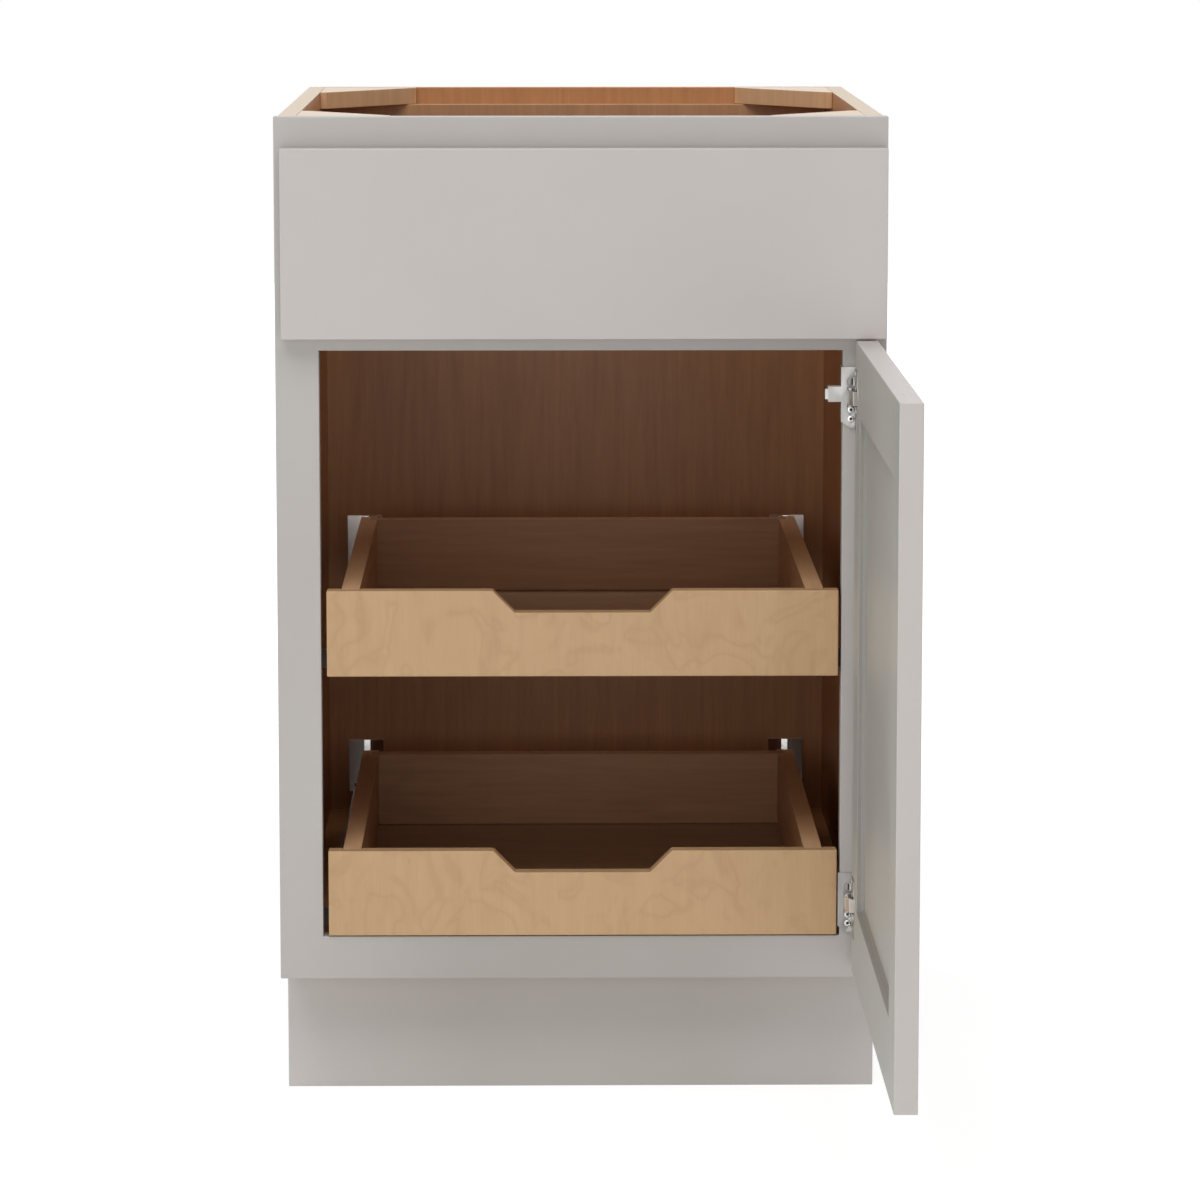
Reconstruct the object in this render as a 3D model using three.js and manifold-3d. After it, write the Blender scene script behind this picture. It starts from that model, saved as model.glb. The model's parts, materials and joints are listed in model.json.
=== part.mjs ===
// A framed kitchen base cabinet with a drawer, a door and two pull-out trays, shown with its door open.
// Millimetres, +Z up. X runs to the right as seen from the front, and Y runs from the front to the back.
// Every piece is placed from the floor and from the middle of the face frame's front. At the end the whole
// cabinet moves forward, which puts the origin at the middle of the toe board's foot.
import * as THREE from "three";
import { mergeVertices } from "three/addons/utils/BufferGeometryUtils.js";
import Module from "manifold-3d";

const wasm = await Module();
wasm.setup();

// Gaps between pieces
const seam = 0.2; // glue line between two boards that are fixed together
const slip = 0.3; // gap between metal fittings and what they are screwed to
const overrun = 2; // how far a cut runs past the face that it opens
const gridStep = 1 / 1024; // corners are rounded to this before a cut or a join, so that flush faces meet

// Face frame
const cabinetWidth = 533.4;
const frameHeight = 762;
const toeHeight = 114.3;
const frameThick = 19.05;
const stileWidth = 38.1;
const topRailHeight = 38.1;
const middleRailHeight = 38.1;
const bottomRailHeight = 38.1;
const drawerOpening = 127;

// Box behind the frame
const frameOverhang = 3; // how far the frame stands past each side of the box
const boxDepth = 609.6;
const sideThick = 16;
const backThick = 12;
const floorThick = 16;
const floorDrop = 1.4; // the floor lies this far under the top of the bottom rail
const housingDepth = 6; // grooves that the floor and the back sit in
const toeSetback = 66;
const toeBoardThick = 12;
const nailerThick = 16;
const nailerHeight = 76.2;
const nailerDrop = 16; // from the top of the cabinet to the top of the nailer
const braceThick = 16;
const frontBraceWidth = 82;
const frontBraceDepth = 95;
const rearBraceWidth = 90;
const rearBraceDepth = 116;
const braceTip = 6; // width of a brace's blunt end

// Drawer front and door, and how much of the face frame shows round them
const leftReveal = 5.95;
const rightReveal = 1.15;
const topReveal = 26.6;
const bottomReveal = 9.9;
const frontThick = 19.05;
const drawerFrontLap = 26.6; // how far the drawer front hangs below its opening
const frontsGap = 1.6; // between the drawer front and the door
const doorGap = 3; // between the shut door and the face frame
const drawerFrontGap = 2; // between the drawer front and the face frame
const doorRailWidth = 63.5;
const doorPanelThick = 6.35;
const doorPanelRecess = 7; // from the inner face of the door to its panel
const doorGroove = 9.5; // depth of the groove round the panel
const openDoorGap = 10.3; // from the opening to the inner face of the door when it stands open
const openEdgeY = -9.5; // the hinge edge of the door then

// Trays, and the drawer's box
const trayFrontGap = 3.8; // from each end of a tray's front to the edge of the opening
const trayInset = 12.8; // from the end of a tray's front to the side of its box
const trayShift = 1.2; // the trays and the drawer's box sit this far to the right of the middle
const trayHeight = 76.2;
const trayFrontY = -2.2;
const trayRoomBehind = 106.85;
const boardThick = 16;
const trayBottomThick = 6;
const rabbet = 8; // width of the step that a tray's bottom sits in
const trayHousing = 6; // depth of the grooves at a tray's corners
const lowerTrayLift = 1; // above the bottom rail
const upperTrayLift = 233.2;
const scoopBottom = 119;
const scoopDepth = 19.4;
const drawerBoxLift = 5; // above the middle rail
const drawerHeadroom = 32; // from the drawer's box to the top of its opening
const drawerRoomBehind = 112.45;

// Runners
const runnerLift = 13; // middle of a runner above the bottom of its tray
const runnerHeight = 18;
const runnerGauge = 1.2;
const runnerReach = 10; // how far the moving runner stands off the tray
const runnerTongue = 6;
const railHeight = 19.2;
const railInset = 3; // from the tray to the lips
const railWidth = 9.4;
const railTabReach = 26; // the tabs of a rail reach this far past the box, from its middle
const trayRailGap = 10; // between a tray's rails and the back panel
const runnerEndGap = 10; // the runner stops this far short of the back of its box

// Rear brackets
const plateWidth = 34.4;
const plateHeight = 53;
const plateReach = 16.3; // the outer edge of the plate past the box, from its middle
const plateGauge = 1.6;
const lowerPlateLift = 15.8;
const upperPlateLift = 11;
const shelfGauge = 1.5;
const shelfLength = 26;
const hookWidth = 6;
const hookInset = 5; // the hook's inner face, inwards from the side of the box
const hookReach = 14;

// Hinges
const upperHingeDrop = 50.5; // from the top of the door to the middle of the hinge
const lowerHingeLift = 58.9; // from the bottom of the door
const hingeGauge = 1.3;
const legWidth = 15.4;
const legAbove = 26;
const legBelow = 28;
const legSlope = 6;
const edgeLegDepth = 15;
const lugReach = 3.2; // round the hinge pin
const lugThick = 2;
const lugBase = 6.6; // height of the lugs above and below the middle of the hinge
const framePinX = 6.4; // from the edge of the opening to the pin on the frame
const framePinY = 9; // in front of the frame
const cupPinEdge = 14.1; // from the hinge edge of the door to the pin in the cup
const cupPinDepth = 3.9; // from the inner face of the door
const pinRadius = 1.5;
const pinPlay = 0.3;
const pinOverlap = 1.8; // how far a pin enters each lug
const linkHalfHeight = 6;
const linkGauge = 2.4;
const linkEye = 2.6;
const linkBends = [
  [-0.4, -6],
  [2.2, -11.8],
];
const cupRadius = 17.2;
const cupPlay = 0.3;
const cupEdge = 22.5; // from the hinge edge of the door to the middle of the cup
const cupDepth = 11.3;
const cupWall = 1;
const flangeGauge = 0.7;
const flangeHeight = 52;
const flangeWidth = 21;
const cupLugTop = 0.6;
const cupLugHalf = 4.6;
const camRadius = 4.2;
const camX = 8.2; // from the edge of the opening
const camZ = 13;
const camSlotWidth = 1.2;
const camSlotLength = 6;
const slotX = 7.4;
const slotHeights = [-12, -20.5];
const slotWidth = 1.8;
const slotLength = 5;
const damperWidth = 11.2;
const damperDepth = 12;
const damperHeight = 13.2;
const damperLift = 2;
const damperNibWidth = 2.6;
const damperNibDepth = 6;
const damperNibHeight = 8.8;

const roundSides = 24;
const cupSides = 48;

// Levels and places that follow from the sizes above
const topZ = toeHeight + frameHeight;
const halfWidth = cabinetWidth / 2;
const openHalf = halfWidth - stileWidth;
const bottomRailTop = toeHeight + bottomRailHeight;
const drawerOpeningTop = topZ - topRailHeight;
const drawerOpeningFloor = drawerOpeningTop - drawerOpening;
const middleRailFloor = drawerOpeningFloor - middleRailHeight;
const boxHalf = halfWidth - frameOverhang;
const boxInner = boxHalf - sideThick;
const boxFront = frameThick + seam;
const boxBack = frameThick + boxDepth;
const backFace = boxBack - backThick;
const floorTop = bottomRailTop - floorDrop;
const frontsLeft = leftReveal - halfWidth;
const frontsRight = halfWidth - rightReveal;
const drawerFrontTop = topZ - topReveal;
const drawerFrontFloor = drawerOpeningFloor - drawerFrontLap;
const doorTop = drawerFrontFloor - frontsGap;
const doorFloor = toeHeight + bottomReveal;
const upperHingeZ = doorTop - upperHingeDrop;
const lowerHingeZ = doorFloor + lowerHingeLift;
const trayFrontHalf = openHalf - trayFrontGap;
const trayBoxHalf = trayFrontHalf - trayInset;
const trayBack = backFace - trayRoomBehind;
const lowerTrayZ = bottomRailTop + lowerTrayLift;
const upperTrayZ = bottomRailTop + upperTrayLift;
const drawerBoxHeight = drawerOpening - drawerBoxLift - drawerHeadroom;

// Finishes
function finish(color, roughness, metalness) {
  return { color, roughness, metalness };
}
const paint = finish(0xc4c0b9, 0.45, 0);
const maple = finish(0xc39b6e, 0.5, 0);
const mapleDark = finish(0xa9774a, 0.5, 0);
const nickel = finish(0xd6d4cf, 0.3, 0.9);
const zinc = finish(0xb4b6b8, 0.4, 0.8);

function mesh(name, geometry, look) {
  const made = new THREE.Mesh(geometry, new THREE.MeshStandardMaterial(look));
  made.name = name;
  return made;
}

// A board that fills three spans, each given as its low and high end.
function board(name, look, [x0, x1], [y0, y1], [z0, z1]) {
  const made = mesh(name, new THREE.BoxGeometry(x1 - x0, y1 - y0, z1 - z0), look);
  made.position.set((x0 + x1) / 2, (y0 + y1) / 2, (z0 + z1) / 2);
  return made;
}

function outline(points) {
  return new THREE.Shape(points.map(([a, b]) => new THREE.Vector2(a, b)));
}

function extruded(shape, length) {
  return new THREE.ExtrudeGeometry(shape, { depth: length, bevelEnabled: false });
}

// An outline in X and Z, carried along Y from y0 to y1.
function alongY(name, look, shape, [y0, y1]) {
  const made = mesh(name, extruded(shape, y1 - y0).rotateX(Math.PI / 2), look);
  made.position.y = y1;
  return made;
}

// An outline in Y and Z, carried along X from x0 to x1.
function alongX(name, look, shape, [x0, x1]) {
  const turn = new THREE.Matrix4().makeBasis(
    new THREE.Vector3(0, 1, 0),
    new THREE.Vector3(0, 0, 1),
    new THREE.Vector3(1, 0, 0),
  );
  const made = mesh(name, extruded(shape, x1 - x0).applyMatrix4(turn), look);
  made.position.x = x0;
  return made;
}

// An outline in X and Y, carried up from z0 to z1.
function alongZ(name, look, shape, [z0, z1]) {
  const made = mesh(name, extruded(shape, z1 - z0), look);
  made.position.z = z0;
  return made;
}

// A round bar that stands along Z between two levels.
function post(radius, x, y, [z0, z1], sides = roundSides) {
  const geometry = new THREE.CylinderGeometry(radius, radius, z1 - z0, sides).rotateX(Math.PI / 2);
  const made = mesh("post", geometry, nickel);
  made.position.set(x, y, (z0 + z1) / 2);
  return made;
}

// A round bar that lies along Y between two depths.
function peg(radius, x, z, [y0, y1], sides = roundSides) {
  const made = mesh("peg", new THREE.CylinderGeometry(radius, radius, y1 - y0, sides), nickel);
  made.position.set(x, (y0 + y1) / 2, z);
  return made;
}

function solidOf(piece) {
  piece.updateMatrix();
  const placed = piece.geometry.clone().applyMatrix4(piece.matrix);
  placed.deleteAttribute("normal");
  placed.deleteAttribute("uv");
  const corners = placed.attributes.position.array.map((v) => Math.round(v / gridStep) * gridStep);
  placed.attributes.position.array.set(corners);
  const merged = mergeVertices(placed);
  return new wasm.Manifold(
    new wasm.Mesh({
      numProp: 3,
      vertProperties: new Float32Array(merged.attributes.position.array),
      triVerts: new Uint32Array(merged.index.array),
    }),
  );
}

function replaceShape(piece, solid) {
  const made = solid.getMesh();
  const geometry = new THREE.BufferGeometry();
  geometry.setAttribute("position", new THREE.BufferAttribute(made.vertProperties, 3));
  geometry.setIndex(new THREE.BufferAttribute(made.triVerts, 1));
  piece.geometry = geometry.applyMatrix4(piece.matrix.clone().invert());
  piece.geometry.computeVertexNormals();
  return piece;
}

function cut(piece, ...tools) {
  return replaceShape(
    piece,
    tools.reduce((solid, tool) => solid.subtract(solidOf(tool)), solidOf(piece)),
  );
}

function join(piece, ...others) {
  return replaceShape(
    piece,
    others.reduce((solid, other) => solid.add(solidOf(other)), solidOf(piece)),
  );
}

function space(x, y, z) {
  return board("space", maple, x, y, z);
}

// A span on the left of the middle is the mirror of the same span on the right.
function sided(side, near, far) {
  return side > 0 ? [near, far] : [-far, -near];
}

// Face frame: two stiles with three rails between them
function faceFrame() {
  const thick = [0, frameThick];
  const between = [-openHalf + seam, openHalf - seam];
  return [
    board("left_stile", paint, [-halfWidth, -openHalf], thick, [toeHeight, topZ]),
    board("right_stile", paint, [openHalf, halfWidth], thick, [toeHeight, topZ]),
    board("top_rail", paint, between, thick, [drawerOpeningTop, topZ]),
    board("middle_rail", paint, between, thick, [middleRailFloor, drawerOpeningFloor]),
    board("bottom_rail", paint, between, thick, [toeHeight, bottomRailTop]),
  ];
}

// A side of the box: notched for the toe space, grooved for the floor and stepped for the back
function sidePanel(side) {
  const name = side > 0 ? "right_side_panel" : "left_side_panel";
  const toeBack = toeSetback + toeBoardThick + seam;
  const shape = outline([
    [boxFront, toeHeight],
    [toeBack, toeHeight],
    [toeBack, 0],
    [boxBack, 0],
    [boxBack, topZ],
    [boxFront, topZ],
  ]);
  const groove = sided(side, boxInner - overrun, boxInner + housingDepth);
  return cut(
    alongX(name, paint, shape, sided(side, boxInner, boxHalf)),
    space(groove, [0, boxBack + overrun], [floorTop - floorThick - seam, floorTop + seam]),
    space(groove, [backFace - seam, boxBack + overrun], [-overrun, topZ + overrun]),
  );
}

function brace(name, side, atBack) {
  const corner = boxInner - seam;
  const tip = corner - (atBack ? rearBraceWidth : frontBraceWidth);
  const wall = atBack ? backFace - slip : boxFront;
  const inward = atBack ? -1 : 1;
  const end = wall + inward * (atBack ? rearBraceDepth : frontBraceDepth);
  const shape = outline([
    [side * corner, wall],
    [side * corner, end],
    [side * (corner - braceTip), end],
    [side * tip, wall + inward * braceTip],
    [side * tip, wall],
  ]);
  return alongZ(name, mapleDark, shape, [topZ - braceThick, topZ]);
}

function box() {
  const housed = boxInner + housingDepth - seam;
  const inside = [-boxInner + seam, boxInner - seam];
  const nailerTop = topZ - nailerDrop;
  const nailer = [backFace - seam - nailerThick, backFace - seam];
  return [
    sidePanel(-1),
    sidePanel(1),
    board("floor_panel", maple, [-housed, housed], [boxFront, backFace - seam], [
      floorTop - floorThick,
      floorTop,
    ]),
    board("back_panel", maple, [-housed, housed], [backFace, boxBack], [toeHeight, topZ]),
    board("back_nailer", mapleDark, inside, nailer, [nailerTop - nailerHeight, nailerTop - seam]),
    board("toe_board", paint, [-boxHalf, boxHalf], [toeSetback, toeSetback + toeBoardThick], [
      0,
      toeHeight - seam,
    ]),
    brace("front_left_corner_brace", -1, false),
    brace("front_right_corner_brace", 1, false),
    brace("rear_left_corner_brace", -1, true),
    brace("rear_right_corner_brace", 1, true),
  ];
}

// The distance from the middle of the cabinet to a tray's outer face on one side
function trayFace(side) {
  return trayBoxHalf + side * trayShift;
}

// Fixed rail: a C section that opens towards the tray, with a tab screwed behind the face frame
function fixedRail(name, side, middleZ, rearFlange) {
  const face = trayFace(side);
  const lips = face + railInset;
  const web = lips + railWidth;
  const half = railHeight / 2;
  const mouth = runnerTongue / 2 + slip;
  const gauge = runnerGauge;
  const shape = outline(
    [
      [lips, -half],
      [web, -half],
      [web, half],
      [lips, half],
      [lips, mouth],
      [lips + gauge, mouth],
      [lips + gauge, half - gauge],
      [web - gauge, half - gauge],
      [web - gauge, gauge - half],
      [lips + gauge, gauge - half],
      [lips + gauge, -mouth],
      [lips, -mouth],
    ].map(([x, z]) => [side * x, middleZ + z]),
  );
  const front = frameThick + slip;
  const back = backFace - slip - (rearFlange ? 0 : trayRailGap);
  const reach = trayBoxHalf + railTabReach;
  const high = [middleZ - half + gauge, middleZ + half - gauge];
  const tab = space(sided(side, web - gauge, reach), [front, front + gauge], high);
  const extras = [tab];
  if (rearFlange) {
    extras.push(space(sided(side, web - gauge, reach), [back - gauge, back], high));
  }
  return join(alongY(name, zinc, shape, [front, back]), ...extras);
}

// Moving runner: a flat strip on the tray's side with a beaded tongue inside the fixed rail
function movingRunner(name, side, middleZ, [front, back]) {
  const near = trayFace(side) + slip;
  const far = near + runnerReach - slip;
  const gauge = runnerGauge;
  const half = runnerHeight / 2;
  const tongue = runnerTongue / 2;
  const bead = railHeight / 2 - gauge - slip;
  const shape = outline(
    [
      [near, -half],
      [near + gauge, -half],
      [near + gauge, -tongue],
      [far - gauge, -tongue],
      [far - gauge, -bead],
      [far, -bead],
      [far, bead],
      [far - gauge, bead],
      [far - gauge, tongue],
      [near + gauge, tongue],
      [near + gauge, half],
      [near, half],
    ].map(([x, z]) => [side * x, middleZ + z]),
  );
  return alongY(name, zinc, shape, [front, back]);
}

// Rear bracket: a plate on the back panel, a shelf that the rail rests on, and a hook between them
function rearBracket(name, side, trayZ, plateLift) {
  const middleZ = trayZ + runnerLift;
  const lips = trayFace(side) + railInset;
  const shelfTop = middleZ - railHeight / 2 - slip;
  const plate = [backFace - slip - plateGauge, backFace - slip];
  const plateZ = trayZ + plateLift;
  const reach = plate[0] - shelfLength;
  const outer = lips + railWidth + slip;
  const plateEdge = trayBoxHalf + plateReach;
  const hookX = trayBoxHalf - hookInset;
  const overlap = plate[0] + plateGauge / 2;
  const shelf = [shelfTop - shelfGauge, shelfTop];
  return join(
    board(name, nickel, sided(side, plateEdge - plateWidth, plateEdge), plate, [
      plateZ,
      plateZ + plateHeight,
    ]),
    space(sided(side, hookX, outer + shelfGauge), [reach, overlap], shelf),
    space(sided(side, outer, outer + shelfGauge), [reach, overlap], [
      shelf[0],
      middleZ,
    ]),
    space(sided(side, hookX, hookX + hookWidth), [plate[0] - hookReach, overlap], [
      shelf[0],
      plateZ + plateHeight,
    ]),
  );
}

// The four walls and the bottom of a tray or drawer box, apart from its front
function boxWalls(name, floorZ, height, [front, back]) {
  const left = -trayFace(-1);
  const right = trayFace(1);
  const tall = [floorZ, floorZ + height];
  const bottomTop = floorZ + trayBottomThick;
  const step = [floorZ - overrun, bottomTop + seam];
  const backInner = back - boardThick;
  const backOuter = back - trayHousing;
  const endFace = backInner - trayHousing; // the inner face of the back
  const inner = [left + boardThick, right - boardThick];
  function wall(side) {
    const outer = side > 0 ? right : left;
    const near = outer - side * boardThick;
    const x = side > 0 ? [near, outer] : [outer, near];
    const stepX = side > 0 ? [near - overrun, near + rabbet] : [near - rabbet, near + overrun];
    const grooveX =
      side > 0 ? [near - overrun, near + trayHousing] : [near - trayHousing, near + overrun];
    return cut(
      board(`${name}_${side > 0 ? "right" : "left"}_side`, maple, x, [
        front + boardThick - trayHousing + seam,
        back,
      ], tall),
      space(stepX, [front - overrun, backOuter], step),
      space(grooveX, [endFace - seam, backOuter + seam], [
        floorZ - overrun,
        floorZ + height + overrun,
      ]),
    );
  }
  const end = board(`${name}_back`, maple, [
    inner[0] - trayHousing + seam,
    inner[1] + trayHousing - seam,
  ], [endFace, backOuter], tall);
  return [
    wall(-1),
    wall(1),
    cut(end, space([left, right], [endFace - overrun, endFace + rabbet], step)),
    board(`${name}_bottom`, maple, [inner[0] - rabbet + seam, inner[1] + rabbet - seam], [
      front + boardThick - rabbet + seam,
      endFace + rabbet - seam,
    ], [floorZ, bottomTop]),
  ];
}

// A front board that the sides and bottom are let into from behind
function grooved(piece, floorZ, height, front) {
  const behind = [front + boardThick - trayHousing, front + boardThick + overrun];
  const tall = [floorZ - overrun, floorZ + height + overrun];
  const left = -trayFace(-1);
  const right = trayFace(1);
  return cut(
    piece,
    space([left - seam, left + boardThick + seam], behind, tall),
    space([right - boardThick - seam, right + seam], behind, tall),
    space(
      [left + boardThick - rabbet, right - boardThick + rabbet],
      [front + boardThick - rabbet, front + boardThick + overrun],
      [floorZ - overrun, floorZ + trayBottomThick + seam],
    ),
  );
}

// A pull-out tray, whose front has a wide scoop for the hand
function tray(name, floorZ) {
  const half = trayFrontHalf;
  const lip = scoopBottom / 2;
  const top = floorZ + trayHeight;
  const shape = outline([
    [trayShift - half, floorZ],
    [trayShift + half, floorZ],
    [trayShift + half, top],
    [trayShift + lip + scoopDepth, top],
    [trayShift + lip, top - scoopDepth],
    [trayShift - lip, top - scoopDepth],
    [trayShift - lip - scoopDepth, top],
    [trayShift - half, top],
  ]);
  const depth = [trayFrontY, trayBack];
  const front = alongY(`${name}_front`, maple, shape, [trayFrontY, trayFrontY + boardThick]);
  const group = new THREE.Group();
  group.add(
    grooved(front, floorZ, trayHeight, trayFrontY),
    ...boxWalls(name, floorZ, trayHeight, depth),
  );
  return group;
}

function runnersOf(name, floorZ, [front, back], rearFlange) {
  const middleZ = floorZ + runnerLift;
  const run = [front + boardThick + slip, back - runnerEndGap];
  return [-1, 1].flatMap((side) => {
    const label = `${name}_${side > 0 ? "right" : "left"}`;
    return [
      fixedRail(`${label}_rail`, side, middleZ, rearFlange),
      movingRunner(`${label}_runner`, side, middleZ, run),
    ];
  });
}

// The drawer: a plain box with a slab front screwed on
function drawer() {
  const floorZ = drawerOpeningFloor + drawerBoxLift;
  const boxY = seam - drawerFrontGap;
  const depth = [boxY, backFace - drawerRoomBehind];
  const boxFace = board("drawer_box_front", maple, [-trayFace(-1), trayFace(1)], [
    boxY,
    boxY + boardThick,
  ], [floorZ, floorZ + drawerBoxHeight]);
  const slab = board("drawer_front", paint, [frontsLeft, frontsRight], [
    -drawerFrontGap - frontThick,
    -drawerFrontGap,
  ], [drawerFrontFloor, drawerFrontTop]);
  const group = new THREE.Group();
  group.add(
    slab,
    grooved(boxFace, floorZ, drawerBoxHeight, boxY),
    ...boxWalls("drawer", floorZ, drawerBoxHeight, depth),
    ...runnersOf("drawer", floorZ, depth, true),
  );
  return group;
}

// The door, in its own frame: x from the hinge edge, y from the inner face, z as in the cabinet
function door() {
  const width = frontsRight - frontsLeft;
  const thick = [0, frontThick];
  const panel = [doorPanelRecess, doorPanelRecess + doorPanelThick];
  const groove = [panel[0] - seam, panel[1] + seam];
  const innerLow = doorFloor + doorRailWidth;
  const innerHigh = doorTop - doorRailWidth;
  const tall = [doorFloor, doorTop];
  const grooveTall = [doorFloor - overrun, doorTop + overrun];
  const hingeBores = [upperHingeZ, lowerHingeZ].map((z) =>
    peg(cupRadius + cupPlay, cupEdge, z, [-overrun, cupDepth + cupPlay], cupSides),
  );
  const hingeStile = cut(
    board("door_hinge_stile", paint, [0, doorRailWidth], thick, tall),
    space([doorRailWidth - doorGroove, doorRailWidth + overrun], groove, grooveTall),
    ...hingeBores,
  );
  const freeStile = cut(
    board("door_free_stile", paint, [width - doorRailWidth, width], thick, tall),
    space(
      [width - doorRailWidth - overrun, width - doorRailWidth + doorGroove],
      groove,
      grooveTall,
    ),
  );
  const railSpan = [doorRailWidth + seam, width - doorRailWidth - seam];
  const tongueSpan = [doorRailWidth - doorGroove + seam, width - doorRailWidth + doorGroove - seam];
  function rail(name, [low, high], [grooveLow, grooveHigh]) {
    return cut(
      join(
        board(name, paint, railSpan, thick, [low, high]),
        space(tongueSpan, panel, [low, high]),
      ),
      space([0, width], groove, [grooveLow, grooveHigh]),
    );
  }
  return [
    hingeStile,
    freeStile,
    rail("door_bottom_rail", [doorFloor, innerLow], [innerLow - doorGroove, innerLow + overrun]),
    rail("door_top_rail", [innerHigh, doorTop], [innerHigh - overrun, innerHigh + doorGroove]),
    board("door_panel", paint, tongueSpan, panel, [
      innerLow - doorGroove + seam,
      innerHigh + doorGroove - seam,
    ]),
  ];
}

// Hinge cup, in the door's frame: a sunk bowl with a screw flange and two lugs for its pin
function hingeCup(name, z) {
  const floorY = cupDepth - cupWall;
  const flangeX = [cupEdge - cupRadius - cupPlay + cupWall, cupEdge + flangeWidth / 2];
  const low = -seam - flangeGauge;
  const bowl = join(
    board(name, nickel, flangeX, [low, -seam], [z - flangeHeight / 2, z + flangeHeight / 2]),
    peg(cupRadius, cupEdge, z, [low / 2, cupDepth], cupSides),
  );
  const hollow = cut(bowl, peg(cupRadius - cupWall, cupEdge, z, [-overrun, floorY], cupSides));
  const lugX = [cupPinEdge - cupLugHalf, cupPinEdge + cupLugHalf];
  const lugs = [-1, 1].map((up) => {
    const lug = [up * lugBase, up * (lugBase + lugThick)].sort((a, b) => a - b);
    return space(lugX, [cupLugTop, floorY + cupWall / 2], lug.map((h) => z + h));
  });
  const reach = lugBase + lugThick + overrun;
  return cut(
    join(hollow, ...lugs),
    post(pinRadius + pinPlay, cupPinEdge, cupPinDepth, [z - reach, z + reach]),
  );
}

// Hinge plate: an angle round the edge of the frame, with two lugs for its pin
function hingePlate(name, z, withDamper) {
  const edge = openHalf - slip;
  const edgeX = [edge - hingeGauge, edge];
  const front = [-slip - hingeGauge, -slip];
  const outer = edge - hingeGauge + legWidth;
  const pinX = openHalf + framePinX;
  const leg = outline([
    [edgeX[0], z - legBelow + legSlope],
    [edgeX[0] + legWidth / 2, z - legBelow],
    [outer, z - legBelow],
    [outer, z + legAbove],
    [edgeX[0], z + legAbove],
  ]);
  const holes = [
    post(pinRadius + pinPlay, pinX, -framePinY, [
      z - lugBase - lugThick - overrun,
      z + lugBase + lugThick + overrun,
    ]),
    peg(camRadius + pinPlay, openHalf + camX, z + camZ, [-overrun - hingeGauge, overrun]),
    ...slotHeights.map((h) =>
      space(
        [openHalf + slotX - slotWidth / 2, openHalf + slotX + slotWidth / 2],
        [-overrun - hingeGauge, 0],
        [z + h - slotLength / 2, z + h + slotLength / 2],
      ),
    ),
  ];
  const lugs = [-1, 1].flatMap((up) => {
    const levels = [up * lugBase, up * (lugBase + lugThick)].sort((a, b) => a - b);
    const lug = levels.map((h) => z + h);
    return [
      space([pinX - lugReach, pinX + lugReach], [-framePinY, -slip - hingeGauge / 2], lug),
      post(lugReach, pinX, -framePinY, lug),
    ];
  });
  const damperZ = z + damperLift;
  const damper = [
    space([edgeX[0] - damperWidth, edgeX[0] + hingeGauge / 2], [front[0], front[0] + damperDepth], [
      damperZ - damperHeight / 2,
      damperZ + damperHeight / 2,
    ]),
    space(
      [edgeX[0] - damperWidth - damperNibWidth, edgeX[0]],
      [front[0] + hingeGauge, front[0] + hingeGauge + damperNibDepth],
      [damperZ - damperNibHeight / 2, damperZ + damperNibHeight / 2],
    ),
  ];
  return cut(
    join(
      alongY(name, nickel, leg, front),
      space(edgeX, [front[0], edgeLegDepth], [z - legBelow + legSlope, z + legAbove]),
      ...lugs,
      ...(withDamper ? damper : []),
    ),
    ...holes,
  );
}

// Where the cup's pin stands when the door is open
function cupPinWhenOpen() {
  return [openHalf + openDoorGap + cupPinDepth, openEdgeY - cupPinEdge];
}

// Hinge link: a bent strap between the two pins, with the pins riveted in
function hingeLink(name, z) {
  const start = [openHalf + framePinX, -framePinY];
  const bends = linkBends.map(([dx, dy]) => [start[0] + dx, start[1] + dy]);
  const line = [start, ...bends, cupPinWhenOpen()];
  const high = [z - linkHalfHeight, z + linkHalfHeight];
  const pinReach = lugBase + pinOverlap;
  const parts = line.map(([x, y], i) => {
    const isEnd = i === 0 || i === line.length - 1;
    return post(isEnd ? linkEye : linkGauge / 2, x, y, high);
  });
  line.slice(1).forEach(([x, y], i) => {
    const [fromX, fromY] = line[i];
    const length = Math.hypot(x - fromX, y - fromY);
    const strap = mesh("strap", new THREE.BoxGeometry(length, linkGauge, 2 * linkHalfHeight), nickel);
    strap.position.set((x + fromX) / 2, (y + fromY) / 2, z);
    strap.rotation.z = Math.atan2(y - fromY, x - fromX);
    parts.push(strap);
  });
  [line[0], line[line.length - 1]].forEach(([x, y]) => {
    parts.push(post(pinRadius, x, y, [z - pinReach, z + pinReach]));
  });
  const [first, ...rest] = parts;
  first.name = name;
  return join(first, ...rest);
}

// Height cam: a slotted disc that turns in its hole in the hinge plate
function hingeCam(name, z) {
  const x = openHalf + camX;
  const y = [-slip - hingeGauge, -slip];
  const disc = peg(camRadius, x, z + camZ, y);
  disc.name = name;
  return cut(
    disc,
    space(
      [x - camSlotWidth / 2, x + camSlotWidth / 2],
      [y[0] - overrun, y[0] + hingeGauge / 2],
      [z + camZ - camSlotLength / 2, z + camZ + camSlotLength / 2],
    ),
  );
}

const cabinet = new THREE.Group();
cabinet.name = "kitchen_base_cabinet";

const trayLevels = [
  ["upper_tray", upperTrayZ, upperPlateLift],
  ["lower_tray", lowerTrayZ, lowerPlateLift],
];
trayLevels.forEach(([name, z, plateLift]) => {
  const depth = [trayFrontY, trayBack];
  cabinet.add(
    tray(name, z),
    ...runnersOf(name, z, depth, false),
    rearBracket(`${name}_left_bracket`, -1, z, plateLift),
    rearBracket(`${name}_right_bracket`, 1, z, plateLift),
  );
});

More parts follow.
